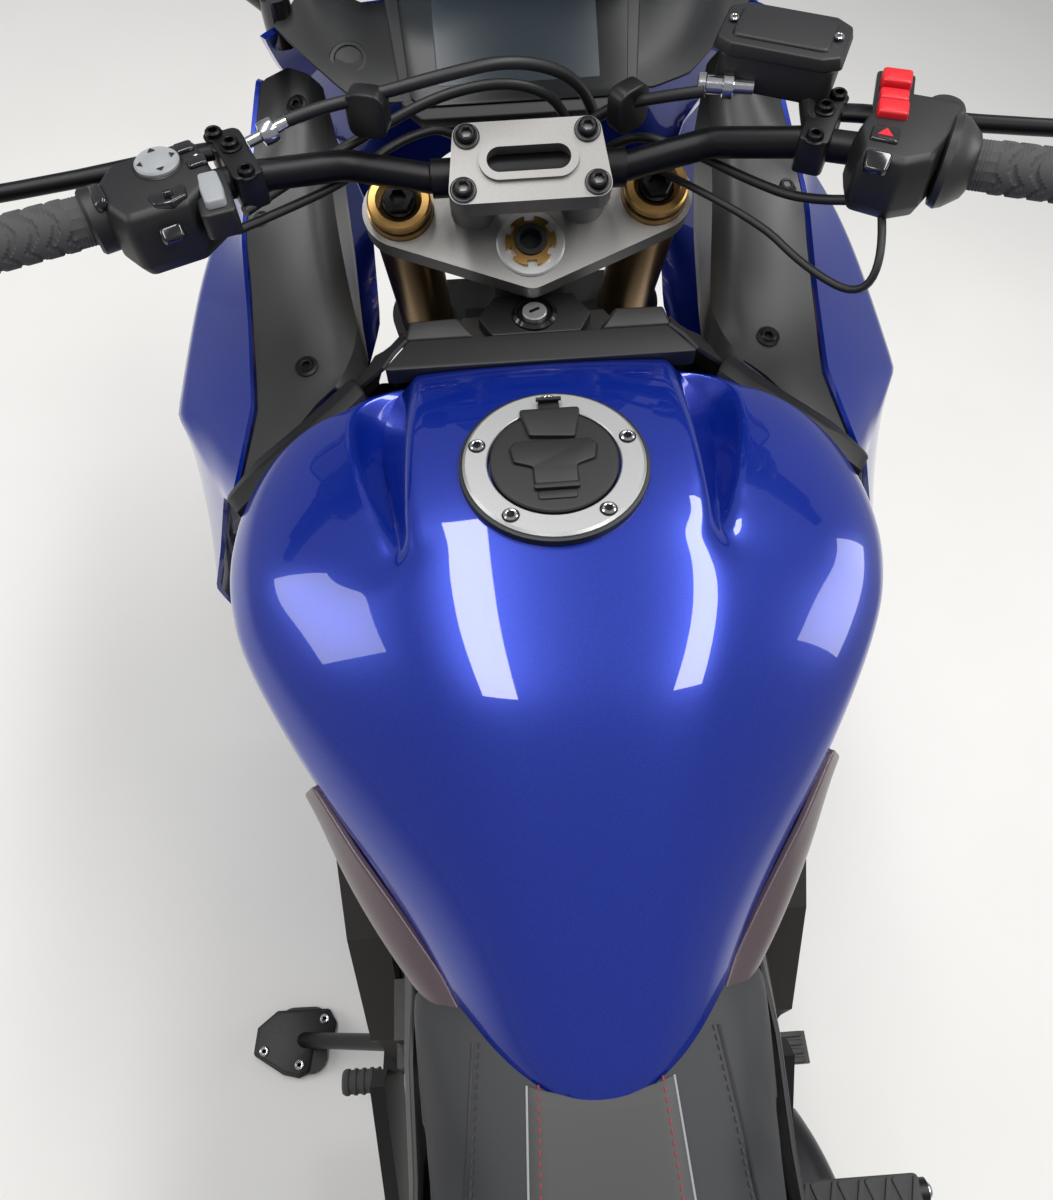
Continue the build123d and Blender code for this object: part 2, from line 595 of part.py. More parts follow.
add("drive_chain", Pos(0, CHAIN_Y, 0) * chain)

RAIL_RUN = [(-160, 136, 656), (-420, 114, 742), (-860, 80, 818)]
RAIL_R = 13
RAIL_BEND = 120
rail_left = rod(RAIL_RUN, RAIL_R, RAIL_BEND)
rail_left += block(-186, -140, 110, PIVOT_PLATE_Y - 0.3, 642, 672)
strut_left = rod([(-196, 138, 545), (-560, 104, 748)], 11)
strut_left += block(-204, -184, 128, PIVOT_PLATE_Y - 0.3, 532, 560)
CROSS_RAIL_TOP = 758
TAIL_RAIL_TOP = 824
tail_rails = block(-470, -440, -112, 112, CROSS_RAIL_TOP - 24, CROSS_RAIL_TOP)
tail_rails += block(-850, -820, -82, 82, TAIL_RAIL_TOP - 20, TAIL_RAIL_TOP)
for half in both_sides(rail_left) + both_sides(strut_left):
    tail_rails += half
add("tail_rails", tail_rails)

# Engine
ENGINE_HALF = 128
crankcase_outline = [(-118, 330), (-118, 470), (-30, 540), (270, 560), (330, 470)]
crankcase_outline += [(330, 350), (270, 290), (230, 200), (20, 200), (-60, 290)]
crankcase = side_plate(crankcase_outline, -ENGINE_HALF, ENGINE_HALF)
left_cover = Pos(210, ENGINE_HALF + 20, 400) * turned(72, 40)
right_cover = Pos(150, -ENGINE_HALF - 24, 400) * turned(92, 48)
cylinder_block = side_plate([(96, 560), (262, 560), (332, 700), (300, 742), (150, 742), (96, 660)], -132, 132)
engine = crankcase + cylinder_block + left_cover + right_cover
engine += side_plate([(146, 742), (302, 742), (286, 757), (166, 757)], -112, 112)
for side, x, reach, radius in ((1, 210, 168, 54), (-1, 150, 176, 72)):
    engine += Pos(x, side * reach, 400) * turned(radius, 12)
    for turn in range(8):
        boss = Rot(0, turn * 45 + 22, 0) * (Pos(radius + 12, 0, 0) * turned(7, 8))
        engine += Pos(x, side * (reach + 1), 400) * boss
for z in range(580, 640, 24):
    engine += block(92, 100, -110, 110, z, z + 8)
for x in range(70, 230, 25):
    engine += block(x, x + 6, -96, 96, 196, 202)
engine_mount = block(-118, -100, 126, PIVOT_PLATE_Y - RUN_GAP, 453, 470)
engine_mount += block(178, 202, 130, HANGER_Y - RUN_GAP, 706, 730)
for half in both_sides(engine_mount):
    engine += half
engine -= Pos(FRONT_SPROCKET_X, CHAIN_Y, FRONT_SPROCKET_Z) * block(-60, 62, -16, 60, -62, 62)
add("engine", engine)

HEADER_R = 21
LINK_PIPE = [(60, -60, 170), (-50, -84, 174), (-160, -216, 218), (-249.7, -216, 218)]
HEADER_FLANGE_Y = [-105, -38, 38, 105]
headers = []
for y in HEADER_FLANGE_Y:
    run = [(300, y, 640), (384, y, 600), (388, y * 0.86, 320), (330, y * 0.7, 172), (180, y * 0.62, 168)]
    headers.append(rod(run, HEADER_R, 55))
collector = block(30, 190, -92, 92, 148, 192)
exhaust = collector
for header in headers:
    exhaust += header
exhaust += rod(LINK_PIPE, 27, 60)
cylinder_outline = [(96, 540), (262.3, 540), (262.3, 560), (332.3, 700), (300, 744), (150, 744), (90, 660)]
cylinder_gap = side_plate(cylinder_outline, -133, 133)
add("exhaust_pipes", exhaust - cylinder_gap)
silencer_sections = []
# Columns: X, Y, Z, half width, half height
SILENCER_SECTIONS = [
    (-250, -216, 218, 38, 40),
    (-320, -220, 230, 56, 64),
    (-480, -222, 268, 56, 70),
    (-590, -222, 300, 42, 52),
]
for x, y, z, half_w, half_h in SILENCER_SECTIONS:
    place = Plane(origin=(x, y, z), x_dir=(0, 1, 0), z_dir=(1, 0, 0))
    silencer_sections.append(place * RectangleRounded(2 * half_w, 2 * half_h, 26))
silencer = loft(silencer_sections)
silencer -= Pos(-590, -222, 300) * (Rot(0, 90, 0) * Cylinder(22, 60))
add("silencer", silencer)

radiator = block(-18, 18, -178, 178, -118, 118) + block(-14, 14, -192, 192, -108, 108)
radiator -= block(10, 20, -160, 160, -100, 100)
for y in range(-152, 160, 16):
    radiator += block(8, 16, y - 1.5, y + 1.5, -101, 101)
radiator = Location((434, 0, 598), (0, -14, 0)) * radiator
lug_top = HEAD_BLOCK_LOW - RUN_GAP
radiator_lug = side_plate([(388, 700), (410, 700), (398, lug_top), (366, lug_top)], 40, 47)
for half in both_sides(radiator_lug):
    radiator += half
add("radiator", radiator)

shock = Cylinder(22, 270)
for turn in range(8):
    shock += Pos(0, 0, -84 + turn * 24) * Cylinder(38, 10)
shock = Location((-215, 0, 497), (0, 14, 0)) * shock
shock_space = block(-300, -120, -60, 60, ARM_BRIDGE_TOP + RUN_GAP, CROSS_TUBE_LOW - RUN_GAP)
add("rear_shock", shock & shock_space)

# Fuel tank
TANK_GAP = 0.3
# Columns: X, plateau half width, crown Z, plateau edge Z, groove floor Y and Z, groove outer Y and Z,
# widest half width and its Z, lower half width and its Z
TANK_SECTIONS = [
    (264, 99, 950, 946, 104, 931, 110, 931, 115, 915, 106, 850),
    (240, 101, 962, 957, 128, 926, 150, 937, 160, 915, 150, 812),
    (200, 102, 970, 966, 130, 932, 146, 945, 226, 905, 194, 785),
    (165, 102.5, 975, 971, 124, 941, 136, 952, 243, 902, 208, 774),
    (115, 102.5, 978, 974, 114, 957, 123, 963, 247, 898, 214, 770),
    (68, 100, 976, 972, 104, 969.5, 109, 968, 235, 893, 206, 770),
    (30, 95, 968, 964, 100, 963, 105, 962, 218, 888, 196, 770),
    (-22, 82, 950, 944, 88, 943, 94, 941, 190, 874, 176, 770),
    (-70, 70, 923, 916, 76, 914.5, 82, 913, 160, 852, 156, 770),
    (-120, 58, 894, 887, 64, 885.5, 70, 883, 124, 826, 122, 768),
    (-170, 46, 864, 857, 51, 855.5, 56, 853, 92, 806, 92, 766),
    (-212, 36, 838, 832, 40, 831, 44, 829, 72, 794, 72, 764),
    (-234, 26, 824, 820, 30, 819, 34, 817.5, 50, 788, 50, 764),
    (-243, 14, 816, 813, 17, 812.5, 20, 811, 28, 786, 28, 764),
]


def tank_body(grow):
    """The tank as one loft with a groove each side of the plateau, grown all round by a small gap."""
    faces = []
    for section in TANK_SECTIONS:
        x, edge_y, crown, edge_z, floor_y, floor_z, out_y, out_z, wide_y, wide_z, low_y, low_z = section
        half = [
            (edge_y, edge_z + grow),
            (floor_y + grow, floor_z + grow),
            (out_y + grow, out_z + grow),
            (wide_y + grow, wide_z),
            (low_y + grow, low_z - grow),
        ]
        left = [(x, y, z) for y, z in half]
        right = [(x, -y, z) for y, z in half]
        bulge_y = out_y + (wide_y - out_y) * 0.58 + grow
        bulge_z = out_z - (out_z - wide_z) * 0.36 + grow
        faces.append(
            make_face(
                [
                    ThreePointArc(left[0], (x, 0, crown + grow), right[0]),
                    Line(right[0], right[1]),
                    Line(right[1], right[2]),
                    ThreePointArc(right[2], (x, -bulge_y, bulge_z), right[3]),
                    Line(right[3], right[4]),
                    Line(right[4], left[4]),
                    Line(left[4], left[3]),
                    ThreePointArc(left[3], (x, bulge_y, bulge_z), left[2]),
                    Line(left[2], left[1]),
                    Line(left[1], left[0]),
                ]
            )
        )
    return loft(faces, ruled=True)


FILLER_X = 141.5
FILLER_Z = TANK_SECTIONS[4][2] + 1
FILLER_SLOPE = -2.3
RING_OUT_R = 64
RING_IN_R = 46
LID_R = 44.5
filler = Location((FILLER_X, 0, FILLER_Z), (0, -FILLER_SLOPE, 0))
tank = tank_body(0)
for half in both_sides(spar(RUN_GAP)):
    tank -= half
tank -= block(200, 300, -80, 80, 700, 892)
tank -= filler * (Pos(0, 0, -8) * Cylinder(RING_OUT_R + 0.5, 40, align=STANDING))
add("fuel_tank", tank)
neck = Cylinder(RING_OUT_R, 12, align=STANDING)
neck -= Pos(0, 0, 2) * Cylinder(RING_IN_R, 20, align=STANDING)
LID_HINGE_X = 53
LID_HINGE_Z = 8
neck = Pos(0, 0, -7.7) * neck
for side in (1, -1):
    neck += block(LID_HINGE_X - 4, LID_HINGE_X + 4, side * 13 - 2, side * 13 + 2, 3, LID_HINGE_Z + 4)
neck += Pos(LID_HINGE_X, 0, LID_HINGE_Z) * turned(1.5, 28)
add("filler_ring", filler * neck)
lid = Cylinder(LID_R, 8, align=STANDING)
flap_half = [(34, 0), (34, 12), (14, 12), (10, 26), (-4, 26), (-10, 15), (-30, 15), (-30, 0)]
flap = make_face(Polyline(*flap_half, *[(x, -y) for x, y in flap_half[-2:0:-1]], close=True))
lid = Pos(0, 0, -2) * lid + Pos(0, 0, 6) * extrude(flap, 2.5)
lid += Pos(LID_HINGE_X - 12, 0, LID_HINGE_Z) * Box(24, 20, 6)
lid += Pos(LID_HINGE_X, 0, LID_HINGE_Z) * turned(3, 20)
lid -= Pos(LID_HINGE_X, 0, LID_HINGE_Z) * turned(1.8, 30)
add("filler_lid", filler * lid)
hinge_place = (filler * Pos(LID_HINGE_X, 0, LID_HINGE_Z)).position
LID_AXIS = Axis(hinge_place, (0, 1, 0))
LID_SWING = 85

# Covers in front of the tank
COVER_ROWS = [
    [(262, 146, 926), (264.3, 104, 946), (264.3, 0, 950)],
    [(300, 134, 930), (300, 100, 946), (292, 0, 950)],
    [(330, 126, 900), (345, 84, 914), (306, 0, 938)],
]
cover = mirrored_panel(COVER_ROWS, (0, 0, -5))
add("tank_cover", cover)
HEAD_BLOCK_TOP = HEAD_MID_Z + HEAD_BLOCK_UP
KEY_STEM = 35
KEY_Z = HEAD_BLOCK_TOP + RUN_GAP + KEY_STEM
key_outline = [(18, -34), (18, 34), (2, 46), (-9, 38), (-9, -38), (2, -46)]
key_face = make_face(Polyline(*key_outline, close=True))
key_body = Location((345, 0, KEY_Z - 3), (0, 12, 0)) * extrude(key_face, 9)
key_body += Location((344, 0, KEY_Z + 6), (0, 12, 0)) * Cylinder(15, 12)
key_body += block(322, 344, -12, 12, HEAD_BLOCK_TOP + RUN_GAP, KEY_Z)
add("key_switch", key_body)

# Seats
SEAT_BASE_Z = 782
seat_faces = []
# Columns: X, half width, crown Z, edge Z
SEAT_SECTIONS = [
    (-146, 122, 816, 806),
    (-230, 122, 818, 800),
    (-330, 128, 812, 792),
    (-450, 142, 816, 798),
    (-556, 128, 850, 830),
]
for x, half_w, top, edge in SEAT_SECTIONS:
    left = Line((x, half_w - 6, SEAT_BASE_Z + 4), (x, half_w, edge))
    crown = ThreePointArc(left @ 1, (x, 0, top), (x, -half_w, edge))
    right = Line(crown @ 1, (x, -half_w + 6, SEAT_BASE_Z + 4))
    base = Line(right @ 1, left @ 0)
    seat_faces.append(make_face([left, crown, right, base]))
seat_foot = block(-465, -445, -34, 34, CROSS_RAIL_TOP + RUN_GAP, SEAT_BASE_Z + 10)
add("rider_seat", loft(seat_faces, ruled=True) + seat_foot - tank_body(TANK_GAP))
pillion_faces = []
# Columns: X, half width, crown Z, base Z
PILLION_SECTIONS = [
    (-566, 112, 884, 856),
    (-640, 128, 894, 858),
    (-780, 118, 902, 866),
    (-880, 84, 904, 880),
]
for x, half_w, top, low in PILLION_SECTIONS:
    left = Line((x, half_w - 6, low), (x, half_w, top - 12))
    crown = ThreePointArc(left @ 1, (x, 0, top), (x, -half_w, top - 12))
    right = Line(crown @ 1, (x, -half_w + 6, low))
    base = Line(right @ 1, left @ 0)
    pillion_faces.append(make_face([left, crown, right, base]))
pillion_foot = block(-845, -825, -34, 34, TAIL_RAIL_TOP + RUN_GAP, 882)
add("pillion_seat", loft(pillion_faces, ruled=True) + pillion_foot)

knee = faceted_panel(
    [
        [(-48, 174, 866), (-110, 146, 846), (-165, 120, 828)],
        [(-40, 186, 820), (-110, 160, 812), (-170, 134, 800)],
        [(-40, 188, 772), (-110, 164, 768), (-178, 138, 764)],
    ],
    (0, -5, 0),
)
add("knee_panels", both_sides(knee - tank_body(TANK_GAP)))


def bosses(rows, places, radius, seat_y):
    """Round bosses from a side panel's outer face inward to a plane of Y, at (x, z) places."""
    beyond = faceted_panel(rows, (0, 200, 0))
    made = []
    for x, z in places:
        made.append(Pos(x, seat_y + 110, z) * turned(radius, 220) - beyond)
    return made


# Cowls: rows run from top to bottom, points from rear to front
SIDE_COWL_ROWS = [
    [(186, 250, 900), (270, 234, 916), (350, 240, 930), (440, 250, 945), (560, 228, 1012)],
    [(212, 264, 876), (308, 316, 868), (400, 306, 890), (500, 285, 920), (640, 215, 950)],
    [(207, 312, 740), (330, 322, 760), (440, 310, 790), (560, 275, 820), (700, 192, 850)],
    [(215, 296, 600), (330, 306, 600), (450, 290, 640), (560, 245, 700), (690, 172, 760)],
    [(260, 262, 470), (350, 270, 460), (440, 250, 520), (520, 215, 600), (600, 172, 680)],
]
side_cowl = faceted_panel(SIDE_COWL_ROWS, (0, -4, 0))
for boss in bosses(SIDE_COWL_ROWS, [(268, 500)], 8, ENGINE_HALF + RUN_GAP):
    side_cowl += boss
add("side_cowls", both_sides(side_cowl))
inner_panel = faceted_panel(
    [
        [(272, 158, 921), (330, 132, 923), (402, 152, 905), (480, 160, 930), (574, 166, 985)],
        [(220, 212, 908), (290, 190, 924), (400, 204, 930), (480, 210, 950), (590, 200, 1000)],
        [(184, 244, 896), (268, 229, 911), (350, 235, 925), (440, 245, 940), (556, 224, 1006)],
    ],
    (0, 0, -4),
)
add("inner_panels", both_sides(inner_panel))

NOSE_ROWS = [
    [(552, 214, 1052), (640, 178, 1022), (720, 110, 985), (772, 0, 970)],
    [(645.3, 215, 950), (724, 166, 930), (794, 80, 905), (826, 0, 895)],
    [(705.3, 192, 850), (764, 140, 850), (818, 60, 845), (842, 0, 842)],
    [(695.3, 172, 760), (738, 110, 780), (778, 50, 790), (794, 0, 795)],
]
nose = mirrored_panel(NOSE_ROWS, (-5, 0, 0))
lamp_space = block(740, 900, -46, 46, 800, 888)
add("nose_cowl", nose - lamp_space)
lamp_faces = []
for x, half_w, low, high in [(742, 34, 812, 876), (812, 45.5, 801, 887)]:
    place = Plane(origin=(x, 0, (low + high) / 2), x_dir=(0, 1, 0), z_dir=(1, 0, 0))
    lamp_faces.append(place * Rectangle(2 * half_w, high - low))
add("headlamps", loft(lamp_faces))
SCREEN_ROWS = [
    [(640, 178, 1022 + RUN_GAP), (720, 110, 985 + RUN_GAP), (772, 0, 970 + RUN_GAP)],
    [(600, 172, 1078), (680, 96, 1066), (712, 0, 1060)],
    [(572, 150, 1140), (614, 84, 1146), (636, 0, 1148)],
    [(520, 96, 1206), (536, 50, 1214), (544, 0, 1216)],
]
screen = mirrored_panel(SCREEN_ROWS, (-4, 0, 0))
add("windscreen", screen)
dash = side_plate([(502, 1020), (596, 1082), (606, 1066), (512, 1004)], -92, 92)
add("dash_display", dash)
stay_left = rod([steer_point(29, 16, -100), (528, 24, 938), (548, 30, 1036)], 8, 20)
arm_left = rod([(528, 24, 938), (640, 60, 950), (740, 90, 930)], 7, 20)
headstock_seat = STEERING * headstock_place * Cylinder(HEADSTOCK_R + RUN_GAP, headstock_length)
dash_seat = dash + Pos(RUN_GAP, 0, -RUN_GAP) * dash
add("cowl_stay", both_sides(stay_left + arm_left - headstock_seat - dash_seat))
BELLY_ROWS = [
    [(-10, 178, 300), (150, 232, 320), (340, 214, 380)],
    [(-20, 166, 240), (150, 200, 230), (380, 170, 290)],
    [(-10, 150, 190), (150, 160, 136), (350, 140, 136)],
]
belly = faceted_panel(BELLY_ROWS, (0, -4, 0))
for boss in bosses(BELLY_ROWS, [(40, 262), (200, 262)], 8, ENGINE_HALF + RUN_GAP):
    belly += boss
add("belly_cowl", both_sides(belly))

TAIL_ROWS = [
    [(-250, 136, 778), (-450, 156, 790), (-600, 146, 846), (-800, 128, 872), (-985, 56, 905)],
    [(-250, 150, 740), (-450, 166, 758), (-620, 158, 815), (-820, 136, 850), (-1000, 56, 885)],
    [(-270, 144, 700), (-450, 150, 720), (-640, 142, 770), (-820, 118, 815), (-985, 54, 860)],
]
GRAB_RUN = [
    (-598, 100, 780),
    (-636, 151, 838),
    (-652, 158, 900),
    (-780, 150, 924),
    (-900, 112, 930),
    (-918, 92, 890),
    (-862, 82, 824),
]
GRAB_R = 8
rail_space = rod(RAIL_RUN, RAIL_R + RUN_GAP, RAIL_BEND)
grab = rod(GRAB_RUN, GRAB_R, 20) - rail_space - block(-852, -818, -84, 84, 802, 824 + RUN_GAP)
tail_side = faceted_panel(TAIL_ROWS, (0, -4, 0))
for boss in bosses(TAIL_ROWS, [(-430, 744), (-790, 808)], 7, 80):
    tail_side += boss - rail_space
tail_side -= rod(GRAB_RUN, GRAB_R + RUN_GAP, 20)
add("tail_cowl", both_sides(tail_side))
LAMP_HALF = 50 - RUN_GAP
lamp = side_plate([(-960, 900), (-1002, 884), (-988, 858), (-950, 864)], -LAMP_HALF, LAMP_HALF)
add("tail_lamp", lamp)
add("grab_rails", both_sides(grab))
PLATE_FRONT = -850 - RUN_GAP
HOLDER_HALF = 60
holder_outline = [(PLATE_FRONT, 806), (PLATE_FRONT, 822), (-900, 816), (REAR_X - 330, 640)]
holder_outline += [(REAR_X - 348, 560), (REAR_X - 336, 556), (REAR_X - 310, 640)]
add("rear_fender", side_plate(holder_outline, -HOLDER_HALF, HOLDER_HALF))

# Mirrors
mirror_base = Pos(590, 202, 1044) * Cylinder(13, 40)
mirror_base = (mirror_base - nose - Pos(RUN_GAP, 0, RUN_GAP) * nose).solids().sort_by(Axis.Z)[-1]
mirror_arm = rod([(590, 202, 1052), (602, 250, 1090), (585, 330, 1140)], 9, 20) + mirror_base
mirror_head = Location((578, 375, 1150), (0, 0, 12)) * extrude(Plane.YZ * RectangleRounded(150, 84, 26), 34)
add("mirrors", both_sides(mirror_arm + mirror_head))

# Turn signals: a short stalk and a lamp, on the plate holder and on the nose
SIGNAL_R = 7
rear_signal_place = Pos(REAR_X - 238, HOLDER_HALF + RUN_GAP, 720)
rear_signal = rear_signal_place * Pos(0, 25, 0) * turned(SIGNAL_R, 50)
rear_lamp = extrude(Plane.XZ * RectangleRounded(34, 26, 9), 18, both=True)
rear_signal += rear_signal_place * Pos(0, 62, 0) * rear_lamp
front_signal = rod([(700, 160, 893), (735, 214, 893)], SIGNAL_R)
front_signal = (front_signal - nose - Pos(RUN_GAP, RUN_GAP, 0) * nose).solids().sort_by(Axis.Y)[-1]
front_signal += Location((744, 224, 893), (0, 0, 57)) * bevelled(40, 30, 26, 6)
add("turn_signals", both_sides(rear_signal) + both_sides(front_signal))

# Foot controls
bracket_outline = [(-194, 500), (-194, 440), (-150, 425), (-150, 380), (-200, 380)]
bracket_outline += [(-318, 306), (-346, 306), (-354, 345), (-340, 380), (-210, 520)]
bracket = side_plate(bracket_outline, 184.3, 198)


def outward(x, y, z, radius, length):
    """A round bar that runs out to the left from a point."""
    return Pos(x, y + length / 2, z) * turned(radius, length)


plate_out_y = PIVOT_PLATE_Y + PIVOT_PLATE_T + RUN_GAP
bracket += Pos(-172, (plate_out_y + 186) / 2, 408) * turned(13, 186 - plate_out_y)
peg = outward(-334, 196, 340, 12, 153)
rear_bracket = side_plate([(-380, 700), (-420, 720), (-540, 470), (-560, 440), (-530, 440)], 130.2, 142)
rear_peg = outward(-545, 130, 455, 10, 110)
shift_arm = rod([(-334, 204.3, 318), (-260, 208, 306), (-191, 208, 300)], 6, 20)
shift_pad = outward(-191, 203, 300, 11, 60)
brake_arm = rod([(-334, -205.3, 319), (-260, -212, 302), (-190, -218, 288)], 7, 20)
brake_pad = Pos(-190, -240, 290) * Box(34, 54, 12)
left_controls = bracket + peg + shift_arm + shift_pad
right_controls = mirror(bracket + peg, about=Plane.XZ) + brake_arm + brake_pad
add("foot_controls", both_sides(rear_bracket + rear_peg), left_controls, right_controls)

CALIPER_ARM_Y = rear_disc_y + DISC_T / 2 + MOVE_GAP
rear_caliper = Pos(REAR_X + 92, -rear_disc_y - 1, REAR_Z + 76) * Box(70, 44, 50)
arm_outline = [(-30, -22), (26, -22), (122, 60), (122, 96), (70, 96), (-30, 26)]
caliper_arm = side_plate(arm_outline, -CALIPER_ARM_Y - 8, -CALIPER_ARM_Y)
rear_caliper += rear_wheel_place * (caliper_arm - turned(SPACER_R + RUN_GAP, 400))
rear_caliper -= rear_wheel_place * (Pos(0, -rear_disc_y, 0) * ring(REAR_DISC_R + 6, 30, DISC_T + 10))
add("rear_caliper", rear_caliper)

# Side stand, down, with its foot flat on the floor
park = Location((0, 0, LIFT), (-LEAN, 0, 0))
foot = extrude(RectangleRounded(84, 66, 20), FOOT_T)
foot_on_floor = (park * Pos(FOOT_X, FOOT_Y, FOOT_Z)).position
foot = park.inverse() * Pos(foot_on_floor.X, foot_on_floor.Y, 0) * foot
stand = rod([stand_pivot, (FOOT_X, FOOT_Y, FOOT_Z)], STAND_R) - stand_place * Cylinder(7 + RUN_GAP, 60)
stand += stand_place * (Cylinder(19, STAND_EYE_T) - Cylinder(7 + RUN_GAP, STAND_EYE_T + 2))
add("side_stand", stand + foot)

# The parked machine, moved so that the origin is under the middle of its box
parked = {name: park * shape for name, shape in nodes.items()}
boxes = [shape.bounding_box() for shape in parked.values()]
shift_x = -(min(box.min.X for box in boxes) + max(box.max.X for box in boxes)) / 2
shift_y = -(min(box.min.Y for box in boxes) + max(box.max.Y for box in boxes)) / 2
shift = Pos(shift_x, shift_y, -min(box.min.Z for box in boxes))
os.makedirs("parts", exist_ok=True)
for name, shape in parked.items():
    export_step(shift * shape, f"parts/{name}.step")
print("shift", shift.position)
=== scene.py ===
import math

import bpy
from bpy.props import FloatProperty, FloatVectorProperty, IntProperty
from mathutils import Matrix, Vector


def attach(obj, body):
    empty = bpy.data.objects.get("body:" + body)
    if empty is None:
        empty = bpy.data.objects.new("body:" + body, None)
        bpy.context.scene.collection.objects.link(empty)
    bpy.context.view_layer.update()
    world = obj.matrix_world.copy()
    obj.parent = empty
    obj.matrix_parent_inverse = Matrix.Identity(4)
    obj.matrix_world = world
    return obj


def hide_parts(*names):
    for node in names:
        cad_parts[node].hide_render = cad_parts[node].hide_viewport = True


bl_info = {
    "name": "Sport touring motorcycle",
    "version": (1, 0, 0),
    "blender": (4, 5, 0),
    "location": "3D View > Sidebar > Motorcycle",
    "description": "Dresses the packed sport touring motorcycle with its finishes and fine pieces",
    "category": "Object",
}

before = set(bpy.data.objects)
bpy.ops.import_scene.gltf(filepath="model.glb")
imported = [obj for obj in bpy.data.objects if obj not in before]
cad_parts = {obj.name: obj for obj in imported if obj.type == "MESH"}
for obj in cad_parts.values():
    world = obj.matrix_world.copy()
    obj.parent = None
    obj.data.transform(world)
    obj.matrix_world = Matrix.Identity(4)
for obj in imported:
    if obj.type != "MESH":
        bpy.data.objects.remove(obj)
MM = 0.001

# The photograph's camera, in the frame's metres and degrees, for an image 1053 by 1200
CAMERA_PLACE = (-0.23915, 0.13152, 1.46718)
CAMERA_TURN = (30.45, -10.175, -93.913)
CAMERA_LENS = 28.44

# What dresses each CAD node: finish name, then nodes
NODE_FINISHES = {
    "metallic_blue_lacquer": [
        "fuel_tank",
        "side_cowls",
        "nose_cowl",
        "belly_cowl",
        "tail_cowl",
        "front_fender",
    ],
    "satin_mauve_lacquer": ["knee_panels"],
    "powder_coated_frame": ["main_frame", "swingarm", "tail_rails"],
    "crinkle_black_enamel": ["engine", "rear_shock", "lower_clamp", "cowl_stay"],
    "bead_blasted_aluminium": ["top_clamp", "bar_clamp"],
    "satin_ring_aluminium": ["filler_ring"],
    "gold_anodised_aluminium": ["fork_caps", "stem_nut", "fork_tubes"],
    "polished_steel": ["fork_legs", "front_axle", "rear_axle"],
    "ground_disc_steel": ["front_discs", "rear_disc", "rear_sprocket"],
    "oiled_chain_steel": ["drive_chain"],
    "heat_tinted_steel": ["exhaust_pipes"],
    "brushed_silencer_steel": ["silencer"],
    "black_anodised_bar": ["handlebar", "hand_levers"],
    "satin_black_casting": [
        "front_rim",
        "rear_rim",
        "front_calipers",
        "rear_caliper",
        "side_stand",
        "grab_rails",
        "foot_controls",
    ],
    "moulded_black_abs": [
        "tank_cover",
        "key_switch",
        "inner_panels",
        "switch_boxes",
        "brake_reservoir",
        "rear_fender",
        "filler_lid",
        "radiator",
    ],
    "cable_sheath": ["control_cables"],
    "gloss_black_plastic": ["mirrors"],
    "grip_rubber": ["grips"],
    "tyre_rubber": ["front_tyre", "rear_tyre"],
    "seat_vinyl": ["rider_seat", "pillion_seat"],
    "clear_lamp_lens": ["headlamps"],
    "red_lamp_lens": ["tail_lamp"],
    "amber_lamp_lens": ["turn_signals"],
    "smoked_screen": ["windscreen"],
    "display_glass": ["dash_display"],
}


def linear(code):
    """The linear colour of an sRGB hex code; a colour that is linear already stays."""
    if not isinstance(code, str):
        return code
    parts = [int(code[i : i + 2], 16) / 255 for i in (1, 3, 5)]
    return [c / 12.92 if c <= 0.04045 else ((c + 0.055) / 1.055) ** 2.4 for c in parts] + [1.0]


def per_mm(size):
    """A pattern's scale in object coordinates for a feature of a real size in millimetres."""
    return 1 / (size * MM)


def add_node(tree, kind, settings, links):
    """One shader node with its settings and the links into its sockets."""
    node = tree.nodes.new(kind)
    for key, value in settings.items():
        if key in node.inputs:
            node.inputs[key].default_value = value
        else:
            setattr(node, key, value)
    for key, source in links.items():
        tree.links.new(source, node.inputs[key])
    return node


def object_noise(tree, size_mm, detail=3.0, stretch=(1, 1, 1)):
    """Noise on object coordinates, with a feature size in millimetres."""
    place = add_node(tree, "ShaderNodeTexCoord", {}, {})
    turn = add_node(
        tree, "ShaderNodeMapping", {"Scale": stretch}, {"Vector": place.outputs["Object"]}
    )
    noise = add_node(
        tree,
        "ShaderNodeTexNoise",
        {"Scale": per_mm(size_mm), "Detail": detail},
        {"Vector": turn.outputs["Vector"]},
    )
    return noise.outputs["Fac"]


FINISH_MAKERS = {}


def listed(maker):
    """Lists a material's function under its name."""
    FINISH_MAKERS[maker.__name__] = maker
    return maker


def grained(colour, metallic, roughness, grain, tones=None, gloss=None, bump=None, **shader):
    """A material whose colour, roughness or surface follows a fine noise.

    grain is the noise's size in millimetres and its detail, tones and gloss are the two ends of
    the colour and of the roughness, bump is a depth in millimetres and a strength, and any other
    word names a socket of the shader.
    """
    made = bpy.data.materials.new("finish")
    made.use_nodes = True
    tree = made.node_tree
    body = tree.nodes["Principled BSDF"]
    body.inputs["Base Color"].default_value = linear(colour)
    body.inputs["Metallic"].default_value = metallic
    body.inputs["Roughness"].default_value = roughness
    for key, value in shader.items():
        body.inputs[key.replace("_", " ")].default_value = value
    noise = object_noise(tree, *grain)
    if tones:
        ramp = add_node(tree, "ShaderNodeValToRGB", {}, {"Fac": noise})
        for end, tone in zip(ramp.color_ramp.elements, tones):
            end.color = linear(tone)
        tree.links.new(ramp.outputs["Color"], body.inputs["Base Color"])
    if gloss:
        ends = {"To Min": gloss[0], "To Max": gloss[1]}
        span = add_node(tree, "ShaderNodeMapRange", ends, {"Value": noise})
        tree.links.new(span.outputs["Result"], body.inputs["Roughness"])
    if bump:
        relief = {"Strength": bump[1], "Distance": bump[0] * MM}
        raised = add_node(tree, "ShaderNodeBump", relief, {"Height": noise})
        tree.links.new(raised.outputs["Normal"], body.inputs["Normal"])
    return made


